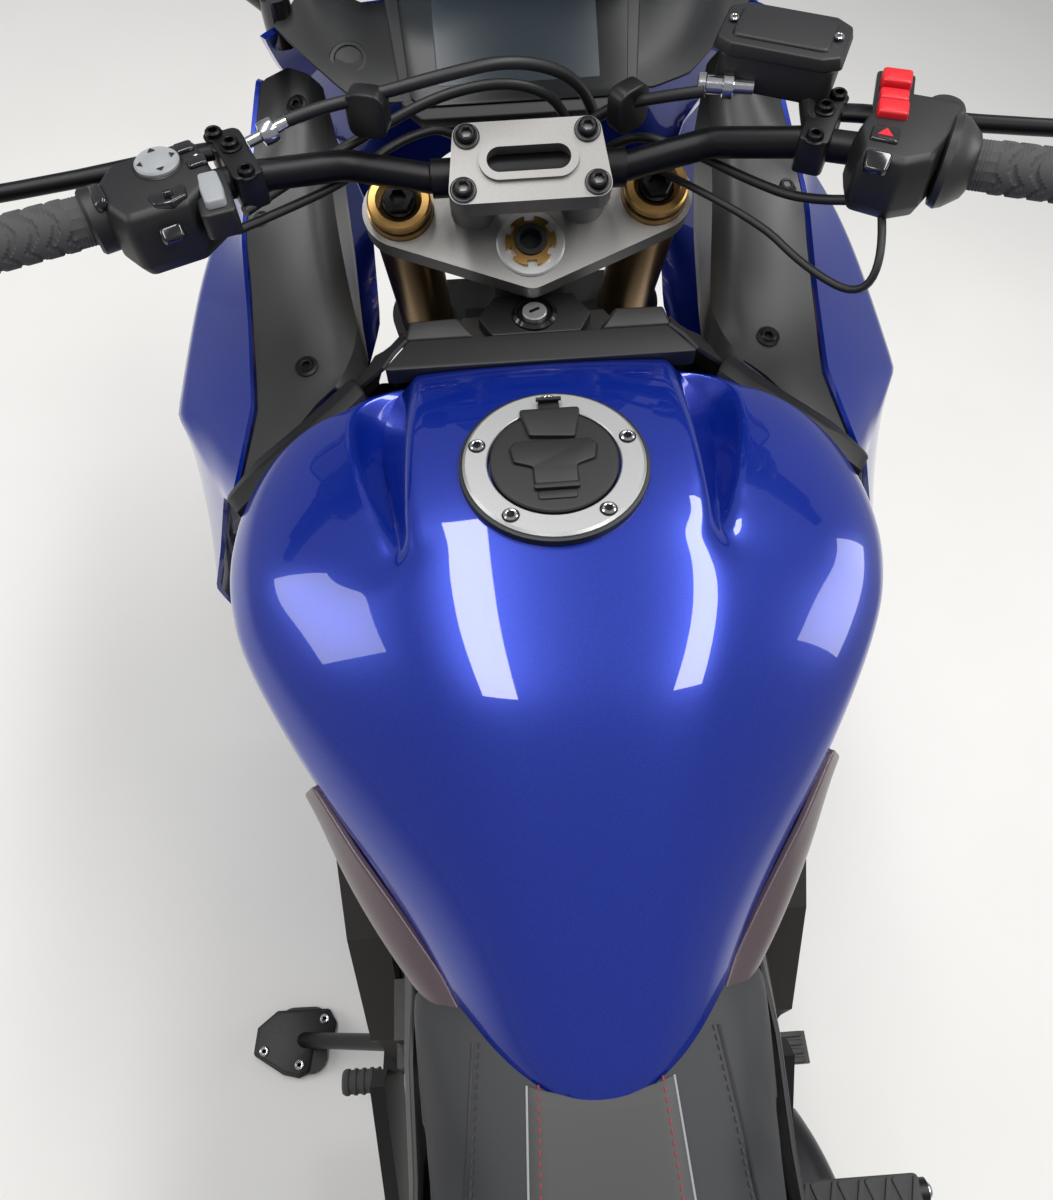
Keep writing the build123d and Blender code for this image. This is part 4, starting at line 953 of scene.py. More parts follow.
class MOTO_OT_tank_cover(bpy.types.Operator):
    """Makes the black cover ahead of the tank, its two towers and wings, and the key plate."""

    bl_idname = "moto.tank_cover"
    bl_label = "Tank cover"

    def execute(self, context):
        strip = slab(
            "cover_strip",
            rounded([(294, 103), (294, -103), (264, -124), (264, 124)], 3, 4),
            936,
            951.5,
            1.6,
        )
        wing_rows = [
            [(266, 122, 950), (263, 146, 931), (262, 166, 905), (266, 168, 850)],
            [(280, 114, 951), (276, 140, 932), (274, 164, 906), (278, 164, 846)],
            [(294, 104, 950), (300, 132, 929), (304, 150, 896), (306, 148, 842)],
            [(314, 108, 938), (318, 126, 914), (320, 138, 880), (320, 138, 838)],
        ]
        wing = panel("cover_wing", wing_rows, 3, lambda row, column, along: 0.9, 1, 1.0)
        base = [(294, 48, 900), (338, 50, 896), (336, 118, 892), (294, 120, 900)]
        waist = [(294, 48, 938), (319, 54, 930), (317, 110, 926), (294, 112, 936)]
        top = [(297, 52, 950), (314, 64, 954), (314, 102, 953), (297, 106, 950)]
        tower = loft("cover_tower", [base, waist, top])
        soften(tower, 2.0, 3, 0.4)
        shelf = slab(
            "cover_shelf",
            rounded([(302, 84), (302, 134), (257, 168), (257, 84)], 3, 3),
            892,
            898,
            1.2,
        )
        sides = both_sides(joined("cover_sides", [wing, tower, shelf]))
        cover = joined("tank_cover_moulding", [strip, sides])
        on_frame(cover, "moulded_black_abs", ["tank_cover"], 28)
        plate_line = rounded(
            [(321, 37), (321, -37), (342, -48), (366, -34), (366, 34), (342, 48)], 3, 4
        )
        plate = slab("key_plate", plate_line, 912, 925, 1.4)
        on_frame(plate, "moulded_black_abs", ["key_switch"])
        mound = turned(
            "key_mound",
            [(20, 920), (19, 927), (16.5, 929.5), (15.5, 929.5), (14.4, 926.2), (0.01, 926.2)],
            48,
        )
        on_frame(moved(mound, shift(342, 0, 0)), "gloss_black_plastic")
        barrel = turned("key_barrel", [(10.5, 925), (10.5, 929), (9.6, 930), (0.01, 930)], 40)
        slot = slab("key_slot", oblong(3, 9.5, 1.2), 929.8, 930.5)
        on_frame(moved(barrel, shift(342, 0, 0)), "satin_ring_aluminium")
        on_frame(moved(slot, shift(342, 0, 0, 25)), "gloss_black_plastic")
        return {"FINISHED"}


# Side cowl rows from top to bottom, points from rear to front
SIDE_COWL_ROWS = [
    [
        (186, 250, 900), (228, 243, 908), (270, 236, 916), (350, 241, 930), (440, 250, 945),
        (560, 228, 1012),
    ],
    [
        (200, 259, 886), (246, 271, 892), (290, 277, 894), (375, 273, 910), (470, 267, 932),
        (600, 222, 981),
    ],
    [
        (212, 266, 872), (262, 292, 872), (308, 317, 868), (400, 307, 890), (500, 286, 920),
        (640, 215, 950),
    ],
    [
        (209, 290, 800), (268, 311, 806), (322, 322, 812), (425, 310, 838), (535, 281, 868),
        (672, 205, 898),
    ],
    [
        (207, 312, 740), (270, 319, 750), (330, 323, 760), (440, 311, 790), (560, 276, 820),
        (700, 192, 850),
    ],
    [
        (215, 297, 600), (275, 303, 598), (330, 307, 600), (450, 291, 640), (560, 246, 700),
        (690, 172, 760),
    ],
    [
        (260, 262, 470), (306, 268, 464), (350, 271, 460), (440, 251, 520), (520, 216, 600),
        (600, 172, 680),
    ],
]
# Inner fairing rows from the machine's middle outward, points from rear to front
INNER_PANEL_ROWS = [
    [
        (274, 158, 921), (304, 144, 905), (338, 146, 888), (402, 156, 866), (480, 162, 880),
        (560, 168, 930),
    ],
    [
        (276, 166, 925), (308, 152, 925), (345, 150, 922), (402, 160, 920), (480, 172, 946),
        (574, 174, 992),
    ],
    [
        (262, 182, 921), (300, 168, 927), (345, 165, 932), (402, 176, 935), (480, 190, 958),
        (580, 186, 1001),
    ],
    [
        (226, 213, 909), (280, 200, 922), (345, 205, 931), (402, 212, 939), (480, 218, 957),
        (588, 204, 1003),
    ],
    [
        (188, 245, 898), (268, 231, 912), (350, 237, 927), (396, 241, 934), (440, 246, 942),
        (558, 226, 1009),
    ],
]


class MOTO_OT_cowls(bpy.types.Operator):
    """Makes the side cowls, the dark inner fairing panels, and the trim beside the tank."""

    bl_idname = "moto.cowls"
    bl_label = "Side cowls and inner panels"

    def execute(self, context):
        def cowl_lines(row, column, along):
            if along:
                return {0: 1.0, 2: 0.75, 4: 0.35, 6: 1.0}.get(row, 0.0)
            return {0: 1.0, 2: 0.6, 5: 1.0}.get(column, 0.0)

        cowl = both_sides(panel("side_cowl_panels", SIDE_COWL_ROWS, 4, cowl_lines, 3, 0.8))
        on_frame(cowl, "metallic_blue_lacquer", ["side_cowls"], 40, "body_paint")

        def inner_lines(row, column, along):
            if along:
                return {0: 0.9, 1: 0.85, 2: 0.3, 4: 1.0}.get(row, 0.2)
            return {0: 1.0, 2: 0.4, 5: 1.0}.get(column, 0.0)

        inner = both_sides(
            panel("inner_fairing_panels", INNER_PANEL_ROWS, 3.5, inner_lines, 2, 0.8)
        )
        on_frame(inner, "moulded_grey_abs", ["inner_panels"], 34, "black_plastic")
        trim_rows = [
            [(186, 252, 903), (214, 226, 913), (240, 190, 923), (262, 165, 929), (276, 150, 932)],
            [(180, 250, 907), (206, 222, 918), (232, 184, 929), (254, 158, 934), (268, 145, 936)],
            [(170, 243, 906), (196, 214, 917), (224, 176, 929), (244, 152, 934), (257, 140, 936)],
            [(168, 241, 898), (194, 212, 909), (222, 174, 922), (242, 150, 928), (255, 138, 930)],
        ]
        trim = both_sides(
            panel(
                "cowl_trim_strips",
                trim_rows,
                2.5,
                lambda row,
                column,
                along: 0.8 if along else 0.0,
                2,
            )
        )
        on_frame(trim, "satin_black_casting", angle=30)
        head = socket_bolt("panel_bolts", 6.5, 3.4, 0.5, flange=9.5)
        spots = [(299, 190, 925.5, 4, -10), (548, 196, 992, 16, -22), (455, 232, 949, 6, -14)]
        places = []
        for x, y, z, roll, pitch in spots:
            for side in (1, -1):
                tilt = shift(x, side * y, z, side * -roll, "X") @ shift(turn=pitch, axis="Y")
                places.append(tilt)
        bolts = copies(head, places)
        on_frame(bolts, "black_anodised_bar", angle=25)
        return {"FINISHED"}


class MOTO_OT_dash(bpy.types.Operator):
    """Makes the dash: display, bezel, the black inner panel, its socket and the cowl's edge."""

    bl_idname = "moto.dash"
    bl_label = "Dash and upper cowl"

    def execute(self, context):
        # The dash lies in a plane that rises forward: local X runs up it, local Z out of it
        dash = UPRIGHT @ shift(554, 0, 1043, -33.5, "Y")
        bezel = slab(
            "dash_housing",
            rounded([(66, 112), (-58, 100), (-72, 84), (-72, -84), (-58, -100), (66, -112)], 7, 4),
            -12,
            5,
            2.5,
        )
        fitted(bezel, dash, "moulded_black_abs", "frame", ["dash_display"])
        glass = slab(
            "dash_glass",
            rounded([(62, 100), (-54, 92), (-62, 82), (-62, -82), (-54, -92), (62, -100)], 5, 4),
            3,
            7.2,
            1.0,
        )
        fitted(glass, dash, "display_glass", "frame", slot="screen_black")
        live = slab("dash_screen", [(x + 4, y) for x, y in oblong(100, 138, 3)], 6.5, 7.5, 0.3)
        fitted(live, dash, "dark_display", "frame")
        dish_rows = [
            [
                (506, 84, 1014), (506, 114, 1014), (516, 146, 1018), (544, 176, 1031),
                (574, 206, 1046),
            ],
            [
                (520, 90, 1022), (522, 118, 1021), (534, 148, 1024), (562, 172, 1035),
                (592, 192, 1050),
            ],
            [
                (530, 96, 1030), (540, 122, 1026), (562, 148, 1030), (590, 164, 1042),
                (618, 178, 1056),
            ],
            [
                (580, 100, 1058), (590, 124, 1050), (604, 144, 1052), (622, 156, 1060),
                (640, 164, 1070),
            ],
        ]

        def dish_lines(row, column, along):
            if not along and column in (0, 4):
                return 0.9
            return 0.5 if along and row in (0, 3) else 0.0

        dish = both_sides(panel("cockpit_panels", dish_rows, 3, dish_lines, 2))
        on_frame(dish, "moulded_black_abs")
        socket = turned(
            "cockpit_socket",
            [(17, -8), (17, 3), (15.5, 4.5), (12.5, 4.5), (11.5, 3.4), (0.01, 3.4)],
            40,
        )
        on_frame(moved(socket, shift(548, 143, 1028, -24, "Y")), "satin_black_casting")
        return {"FINISHED"}


# The left bend of the handlebar, the way it runs outward from there, and its turn in degrees
BAR_PLACE = (352, 200, 1064)
BAR_ALONG = (-0.415, 0.907, 0.077)
BAR_TURN = 24.6


def bar_place(out, ahead=0.0, up=0.0, side=1, turn=0.0, axis="Z"):
    """A place by the left or right bar: outward along it from its bend, ahead and above."""
    angle = math.radians(BAR_TURN)
    along, across = Vector(BAR_ALONG), Vector((math.cos(angle), math.sin(angle), 0))
    spot = Vector(BAR_PLACE) + out * along + ahead * across + Vector((0, 0, up))
    lean = Matrix.Rotation(math.radians(side * BAR_TURN), 4, "Z")
    return Matrix.Translation((spot.x, side * spot.y, spot.z)) @ lean @ shift(turn=turn, axis=axis)


def on_bar(piece, finish, out, ahead=0.0, up=0.0, side=1, turn=0.0, axis="Z", **rest):
    """Fits a handlebar piece whose own X runs ahead and Y to the left."""
    return fitted(
        moved(piece, bar_place(out, ahead, up, side, turn, axis)),
        UPRIGHT,
        finish,
        "steering",
        **rest
    )


class MOTO_OT_left_switches(bpy.types.Operator):
    """Makes the left switch box with its pad, buttons and rockers."""

    bl_idname = "moto.left_switches"
    bl_label = "Left switches"

    def execute(self, context):
        base = rounded(
            [(26, -34), (26, 30), (8, 44), (-22, 44), (-44, 36), (-46, -8), (-26, -36)], 7, 4
        )
        # Columns: share and shift of X, share of Y, height
        steps = [
            (0.82, -2, 0.88, -27), (1, 0, 1, -16), (1, 0, 1, 8), (0.9, -1, 0.93, 19),
            (0.8, -2, 0.86, 22),
        ]
        box = loft(
            "left_switch_box", [[(x * a + b, y * c, z) for x, y in base] for a, b, c, z in steps]
        )
        soften(box, 1.4)
        collar = turned("left_box_collar", [(20, -8), (22, -6), (22, 6), (20, 8)], 40)
        moved(collar, shift(0, 48, 0, 90, "X"))
        case = joined("left_switch_case", [box, collar])
        on_bar(
            case, "moulded_black_abs", 62, 0, 2, replaced=["switch_boxes"], slot="black_plastic"
        )
        pad = turned(
            "mode_pad",
            [(15.4, 0), (15.4, 3.4), (14.2, 4.6), (9.5, 4.2), (7.0, 5.0), (0.01, 5.4)],
            48,
        )
        on_bar(pad, "grey_switch_plastic", 60, 4, 23.2)
        rim = turned_ring("mode_pad_rim", [(15.8, -2), (15.8, 2.0), (17.4, 1.2), (18, -2)], 48)
        on_bar(rim, "satin_black_casting", 60, 4, 23.2)
        tip = ((10, -2.6), (13.4, 0), (10, 2.6))
        arrow = loft("pad_arrows", [[(x, y, z) for x, y in tip] for z in (0, 0.5)])
        arrows = copies(arrow, [shift(turn=90 * i) @ shift(0, 0, 4.5) for i in range(4)])
        on_bar(arrows, "gloss_black_plastic", 60, 4, 23.2)
        caps = []
        for x, y in ((11, -23), (-8, -26)):
            cap = slab("button", oblong(11, 14, 3), 0, 4.6, 1.2, 0.94)
            caps.append(moved(cap, shift(x, y, 20)))
        on_bar(joined("left_buttons", caps), "gloss_black_plastic", 62, 0, 2)
        turn = slab(
            "turn_switch",
            rounded([(9, -14), (6, 0), (9, 14), (-5, 12), (-8, 0), (-5, -12)], 2.5, 3),
            0,
            6,
            1.4,
            0.92,
        )
        nub = slab("turn_nub", oblong(6, 7, 2.5), 4, 10, 1.5, 0.9)
        on_bar(joined("turn_switch", [turn, nub]), "gloss_black_plastic", 64, -34, 20)
        horn = slab("horn_button", oblong(11, 17, 4), 0, 7, 2.0, 0.9)
        on_bar(horn, "gloss_black_plastic", 72, -50, 8, turn=-38, axis="Y")
        rocker = slab(
            "grey_rocker",
            rounded([(17, -7), (17, 7), (0, 8), (-17, 7), (-17, -7), (0, -8)], 2.5, 3),
            0,
            6.4,
            1.4,
            0.93,
        )
        on_bar(rocker, "grey_switch_plastic", 36, -36, 20, turn=-8, axis="Z")
        holder = slab("rocker_holder", oblong(46, 24, 5), -20, 0, 2.0)
        on_bar(holder, "moulded_black_abs", 36, -35, 20.5, turn=-8, axis="Z")
        side_rocker = slab("side_rocker", oblong(24, 11, 4), 0, 6, 2.2, 0.85)
        on_bar(side_rocker, "gloss_black_plastic", 104, -6, 16, turn=-24, axis="X")
        screws = copies(
            socket_bolt("left_box_screws", 3.4, 2.0, 0.5), [shift(-34, 18, 0), shift(-2, -28, 1)]
        )
        on_bar(screws, "polished_steel", 62, 0, 21.5)
        return {"FINISHED"}


class MOTO_OT_right_switches(bpy.types.Operator):
    """Makes the right switch box with its red run switch and buttons, and its round end."""

    bl_idname = "moto.right_switches"
    bl_label = "Right switches"

    def execute(self, context):
        base = rounded(
            [(6, -38), (-44, -26), (-60, -8), (-56, 22), (-20, 30), (30, 22), (50, 8), (52, -40)],
            7,
            4,
        )
        base = [(x * 0.78, y) for x, y in base]
        # Columns: share of X and of Y, height
        steps = [(0.84, 0.9, -26), (1, 1, -14), (1, 1, 10), (0.93, 0.93, 20), (0.84, 0.86, 23)]
        box = loft("right_switch_box", [[(x * a, y * b, z) for x, y in base] for a, b, z in steps])
        soften(box, 1.6)
        end = turned(
            "right_box_end", [(12, -24), (14, -22), (14, 20), (12.4, 22.5), (0.01, 23)], 36
        )
        moved(end, shift(28, -24, 0))
        on_bar(
            joined("right_switch_case", [box, end]),
            "moulded_black_abs",
            62,
            0,
            2,
            side=-1,
            slot="black_plastic",
        )
        flare = turned(
            "throttle_flange", [(18, 0), (29, 2), (31, 7), (29, 12), (21, 22), (17, 24)], 44
        )
        moved(flare, shift(0, 0, 0, 90, "X"))
        on_bar(flare, "moulded_grey_abs", 92, 0, 0, side=-1)
        # Columns: name, length, width, height, bevel, place
        keys = [
            ("run_low", 17, 22, 6.5, 1.4, -18),
            ("run_mid", 13, 21, 4.4, 1.2, 0),
            ("run_high", 17, 22, 7.5, 1.4, 17),
        ]
        red = []
        for name, length, width, high, bevel, x in keys:
            red.append(moved(slab(name, oblong(length, width, 3), 0, high, bevel, 0.93), shift(x)))
        run = joined("run_switch", red)
        on_bar(run, "red_switch_plastic", 50, 26, 24, side=-1, turn=6, axis="Z")
        bed = slab("run_switch_bed", oblong(60, 27, 4), -3, 1.2, 0.8)
        on_bar(bed, "gloss_black_plastic", 50, 26, 24, side=-1, turn=6, axis="Z")
        hazard = slab("hazard_button", oblong(17, 20, 3), 0, 4.5, 1.4, 0.93)
        on_bar(hazard, "gloss_black_plastic", 52, -20, 23.5, side=-1)
        warning = loft(
            "hazard_triangle",
            [[(x, y, z) for x, y in ((5, 0), (-3.5, -5.4), (-3.5, 5.4))] for z in (0, 0.5)],
        )
        on_bar(warning, "red_switch_plastic", 52, -20, 27.8, side=-1)
        cruise = slab(
            "cruise_button",
            rounded([(9, -10), (9, 10), (-8, 8), (-8, -8)], 3, 3),
            0,
            5.5,
            1.6,
            0.92,
        )
        on_bar(cruise, "gloss_black_plastic", 52, -44, 19, side=-1, turn=-16, axis="Y")
        return {"FINISHED"}


class MOTO_OT_controls(bpy.types.Operator):
    """Makes the levers, their perches, the fluid reservoir, and the cables with their clips."""

    bl_idname = "moto.controls"
    bl_label = "Levers, reservoir and cables"

    def execute(self, context):
        around = [2 * math.pi * i / 16 for i in range(16)]
        for side, tag in ((1, "left"), (-1, "right")):
            # Columns: distance out, distance ahead, half width, half thickness
            stations = [
                (-2, 32, 8, 5.5), (30, 36, 8.5, 5.5), (70, 38, 8, 6), (110, 41, 6.6, 6),
                (150, 45, 6.2, 6), (190, 50, 6.4, 6), (214, 54, 7.6, 7), (224, 56, 5, 5),
            ]
            loops = []
            for out, ahead, half, thick in stations:
                rise = 4 + 0.08 * out
                loops.append(
                    [
                        (ahead + half * math.cos(a), side * out, rise + thick * math.sin(a))
                        for a in around
                    ]
                )
            blade = loft(f"{tag}_lever_blade", loops)
            on_bar(
                blade,
                "black_anodised_bar",
                0,
                0,
                0,
                side=side,
                replaced=["hand_levers"] if side > 0 else (),
            )
            perch = slab(
                f"{tag}_perch_body",
                rounded([(40, -12), (40, 10), (-17, 11), (-17, -11)], 5, 4),
                -14,
                13,
                3,
            )
            ear = slab(
                "perch_ear",
                [(x + 34, y * side) for x, y in oblong(24, 26, 8)][:: side],
                -10,
                11,
                2,
            )
            on_bar(joined(f"{tag}_perch", [perch, ear]), "satin_black_casting", 6, 0, 0, side=side)
            heads = copies(
                socket_bolt(f"{tag}_perch_bolts", 6, 6, 0.52, flange=8),
                [shift(20, 0, 13), shift(-12, 0, 11), shift(40, 6 * side, 11)],
            )
            on_bar(heads, "black_anodised_bar", 6, 0, 0, side=side)
        adjuster = turned(
            "clutch_adjuster",
            [(4, 0), (4, 10), (8, 11), (8.6, 14), (8.6, 20), (8, 22), (4.2, 23), (3.6, 36)],
            24,
        )
        fitted(
            moved(adjuster, bar_place(-6, 18, 14, 1) @ shift(turn=80, axis="X")),
            UPRIGHT,
            "polished_steel",
            "steering",
            angle=25,
        )
        tank = slab("reservoir_cup", oblong(54, 86, 8), 0, 26, 2.5, 0.97)
        lid = slab(
            "reservoir_lid",
            rounded(
                [
                    (29, 34), (20, 47), (-22, 47), (-29, 34), (-29, -34), (-22, -47), (20, -47),
                    (29, -34),
                ],
                3,
                3,
            ),
            26,
            35,
            2.4,
            0.95,
        )
        crown = slab("lid_crown", oblong(40, 72, 6), 34, 37, 1.4, 0.95)
        cup = joined("reservoir_body", [tank, lid, crown])
        spot = shift(414, -188, 1075.5, -BAR_TURN)
        fitted(
            moved(cup, spot),
            UPRIGHT,
            "moulded_black_abs",
            "steering",
            ["brake_reservoir"],
            slot="black_plastic",
        )
        screws = copies(
            socket_bolt("lid_screws", 3.6, 1.8, 0.5), [spot @ shift(0, y, 36.4) for y in (-38, 38)]
        )
        fitted(screws, UPRIGHT, "polished_steel", "steering", angle=25)
        banjo = turned(
            "hose_fitting",
            [(5, 0), (5, 14), (9, 15), (9, 22), (6.4, 23), (6.4, 34), (8, 35), (8, 40), (3, 41)],
            24,
        )
        fitted(
            moved(
                banjo,
                Matrix.Translation((393, -166, 1082)) @ shift(turn=-90, axis="X") @ shift(
                    turn=12, axis="Y"
                ),
            ),
            UPRIGHT,
            "polished_steel",
            "steering",
            angle=25,
        )
        bridge = tube(
            "reservoir_stay",
            [(356, -204, 1070), (372, -205, 1072), (388, -206, 1078), (400, -206, 1082)],
            7,
        )
        fitted(bridge, UPRIGHT, "satin_black_casting", "steering")
        # Each cable's cage of points from the controls down behind the top clamp, and its radius
        runs = [
            (
                [
                    (384, 174, 1084), (394, 150, 1086), (398, 112, 1090), (406, 60, 1097),
                    (422, 6, 1097), (438, -44, 1070), (440, -62, 1020), (436, -62, 960),
                ],
                4.6,
            ),
            (
                [
                    (330, 208, 1052), (372, 170, 1050), (410, 122, 1052), (430, 60, 1070),
                    (436, 0, 1072), (440, -40, 1040), (440, -50, 960),
                ],
                4.0,
            ),
            (
                [
                    (318, 214, 1046), (352, 186, 1034), (384, 140, 1032), (414, 96, 1046),
                    (434, 50, 1040), (438, 30, 980),
                ],
                3.4,
            ),
            (
                [
                    (392, -130, 1082), (404, -96, 1072), (424, -60, 1052), (436, -30, 1010),
                    (438, -14, 960),
                ],
                4.4,
            ),
            (
                [
                    (304, -232, 1050), (330, -204, 1030), (366, -166, 1026), (398, -120, 1034),
                    (424, -80, 1032), (438, -58, 1000),
                ],
                3.6,
            ),
            (
                [
                    (296, -246, 1048), (262, -244, 1034), (252, -232, 1006), (290, -200, 1004),
                    (340, -168, 1014), (420, -92, 1008),
                ],
                3.0,
            ),
        ]
        sheaths = [tube(f"cable_{i}", points, radius) for i, (points, radius) in enumerate(runs)]
        cables = joined("cable_sheaths", sheaths)
        fitted(cables, UPRIGHT, "cable_sheath", "steering", ["control_cables"], 60)
        clips = []
        for x, y, z, turn in ((397, 116, 1079, 75), (414, -78, 1060, -54)):
            clip = slab("cable_clip", oblong(30, 34, 10), -8, 8, 2)
            clips.append(moved(clip, shift(x, y, z, turn) @ shift(turn=90, axis="X")))
        fitted(joined("cable_clips", clips), UPRIGHT, "satin_black_casting", "steering")
        return {"FINISHED"}


class MOTO_OT_grips(bpy.types.Operator):
    """Makes the rubber grips with their knurled collars and raised chevrons."""

    bl_idname = "moto.grips"
    bl_label = "Grips"

    def execute(self, context):
        turns = [2 * math.pi * k / GRIP_ROUND for k in range(GRIP_ROUND)]
        for side, tag in ((1, "left"), (-1, "right")):
            loops = []
            for i in range(GRIP_STEPS + 1):
                along = GRIP_LENGTH * i / GRIP_STEPS
                loops.append([grip_point(along, turn, GRIP_LENGTH, side) for turn in turns])
            grip = loft(f"{tag}_grip_rubber", loops)
            start = bar_place(GRIP_START, side=side)
            lean = shift(turn=side * GRIP_DROOP, axis="X")
            fitted(
                moved(grip, start @ lean),
                UPRIGHT,
                "grip_rubber",
                "steering",
                ["grips"] if side > 0 else (),
                25,
            )
            weight = turned(
                f"{tag}_bar_weight",
                [(10, 0), (16, 1), (17.5, 4), (17.5, 18), (15, 21), (7, 21.5), (6, 18)],
                36,
            )
            place = start @ lean @ shift(0, side * (GRIP_LENGTH + 1), 0, -90 * side, "X")
            fitted(moved(weight, place), UPRIGHT, "black_anodised_bar", "steering", angle=30)
        return {"FINISHED"}


GRIP_RADIUS, GRIP_LENGTH = 16.4, 128
GRIP_STEPS, GRIP_ROUND = 120, 48
GRIP_START = 108
GRIP_DROOP = 4.4


def grip_point(along, angle, length, side):
    """A point of the grip's skin: flange, knurled collar, then ribs in chevrons."""
    radius = GRIP_RADIUS
    if along < 3:
        radius = 20.5
    elif along < 22:
        radius += 0.5 * math.cos(angle * 16 + along * 1.6) * math.cos(angle * 16 - along * 1.6)
    elif along < length - 6:
        wave = (along + 9 * abs(math.sin(angle * 2))) % 14
        radius += 0.9 if wave < 9.5 else -0.4
    return (radius * math.cos(angle), side * along, radius * math.sin(angle))


SEAT_CAP_MM, SEAT_VOXEL_MM = 7.0, 6.0
CLOTH_FRAMES = 20
CLOTH_SETTINGS = {
    "quality": 5,
    "mass": 0.3,
    "tension_stiffness": 12,
    "compression_stiffness": 12,
    "bending_stiffness": 0.5,
    "use_pressure": True,
    "uniform_pressure_force": 4,
}


def cushion(name, sections, base_drop, cap_mm):
    """A padded seat: its block rounded, filled by the cloth simulation and smoothed."""
    loops = []
    for x, half, crown, edge in sections:
        low = min(crown, edge) - base_drop
        side = [
            (0, crown), (0.45, crown - 0.08 * (crown - edge)),
            (0.8, crown - 0.55 * (crown - edge)), (0.96, edge - 6), (1.0, edge - 20), (0.95, low),
            (0, low),
        ]
        line = [(x, share * half, z) for share, z in side]
        loops.append(line + [(x, -y, z) for x, y, z in line[-2:0:-1]])
    pad = smooth_body(
        name,
        loops,
        lambda row,
        column,
        along: 0.7 if along and row in (0, len(sections) - 1) else 0.0,
        2,
    )
    modify(pad, "REMESH", mode="VOXEL", voxel_size=SEAT_VOXEL_MM)
    inflate(pad, cap_mm)
    modify(pad, "SMOOTH", factor=0.5, iterations=6)
    return pad


def inflate(pad, cap_mm):
    """Fills a pad by cloth pressure, no point moving more than the cap; sizes in millimetres."""
    scene = bpy.context.scene
    before = [vertex.co.copy() for vertex in pad.data.vertices]
    pad.data.transform(Matrix.Scale(MM, 4))
    alone(pad)
    cloth = pad.modifiers.new("cloth", "CLOTH")
    for key, value in CLOTH_SETTINGS.items():
        setattr(cloth.settings, key, value)
    cloth.settings.effector_weights.gravity = 0
    cloth.collision_settings.use_collision = False
    cloth.point_cache.frame_start = 1
    cloth.point_cache.frame_end = CLOTH_FRAMES
    for step in range(1, CLOTH_FRAMES + 1):
        scene.frame_set(step)
    bpy.ops.object.modifier_apply(modifier="cloth")
    scene.frame_set(1)
    pad.data.transform(Matrix.Scale(1 / MM, 4))
    for vertex, start in zip(pad.data.vertices, before):
        move = vertex.co - start
        if move.length > cap_mm:
            vertex.co = start + move * (cap_mm / move.length)


def laid_on(piece, x, y, lift, top=1300):
    """A point on a piece's upper surface above a place, lifted off it."""
    hit, spot, _normal, _face = piece.ray_cast(Vector((x, y, top)), Vector((0, 0, -1)))
    return (x, y, (spot.z if hit else 800) + lift)


def stitches(name, pad, line, lift=0.5, pitch=6.0, length=3.8):
    """A row of stitches along a line of places on a pad."""
    places = []
    spare = 0.0
    for start, end in zip(line, line[1:]):
        run = Vector(end) - Vector(start)
        at = spare
        while at < run.length:
            spot = Vector(start) + run.normalized() * at
            ahead = spot + run.normalized() * length
            low, high = Vector(laid_on(pad, *spot, lift)), Vector(laid_on(pad, *ahead, lift))
            turn = (high - low).to_track_quat("X", "Z").to_matrix().to_4x4()
            places.append(Matrix.Translation((low + high) / 2) @ turn)
            at += pitch
        spare = at - run.length
    half = length / 2
    bulge = [(-half, 0.3), (-half * 0.6, 0.75), (half * 0.6, 0.75), (half, 0.3)]
    around = (0, 1.05, 2.1, 3.14, 4.2, 5.25)
    ovals = [[(x, r * math.cos(a), r * math.sin(a)) for a in around] for x, r in bulge]
    return copies(loft(name, ovals), places)


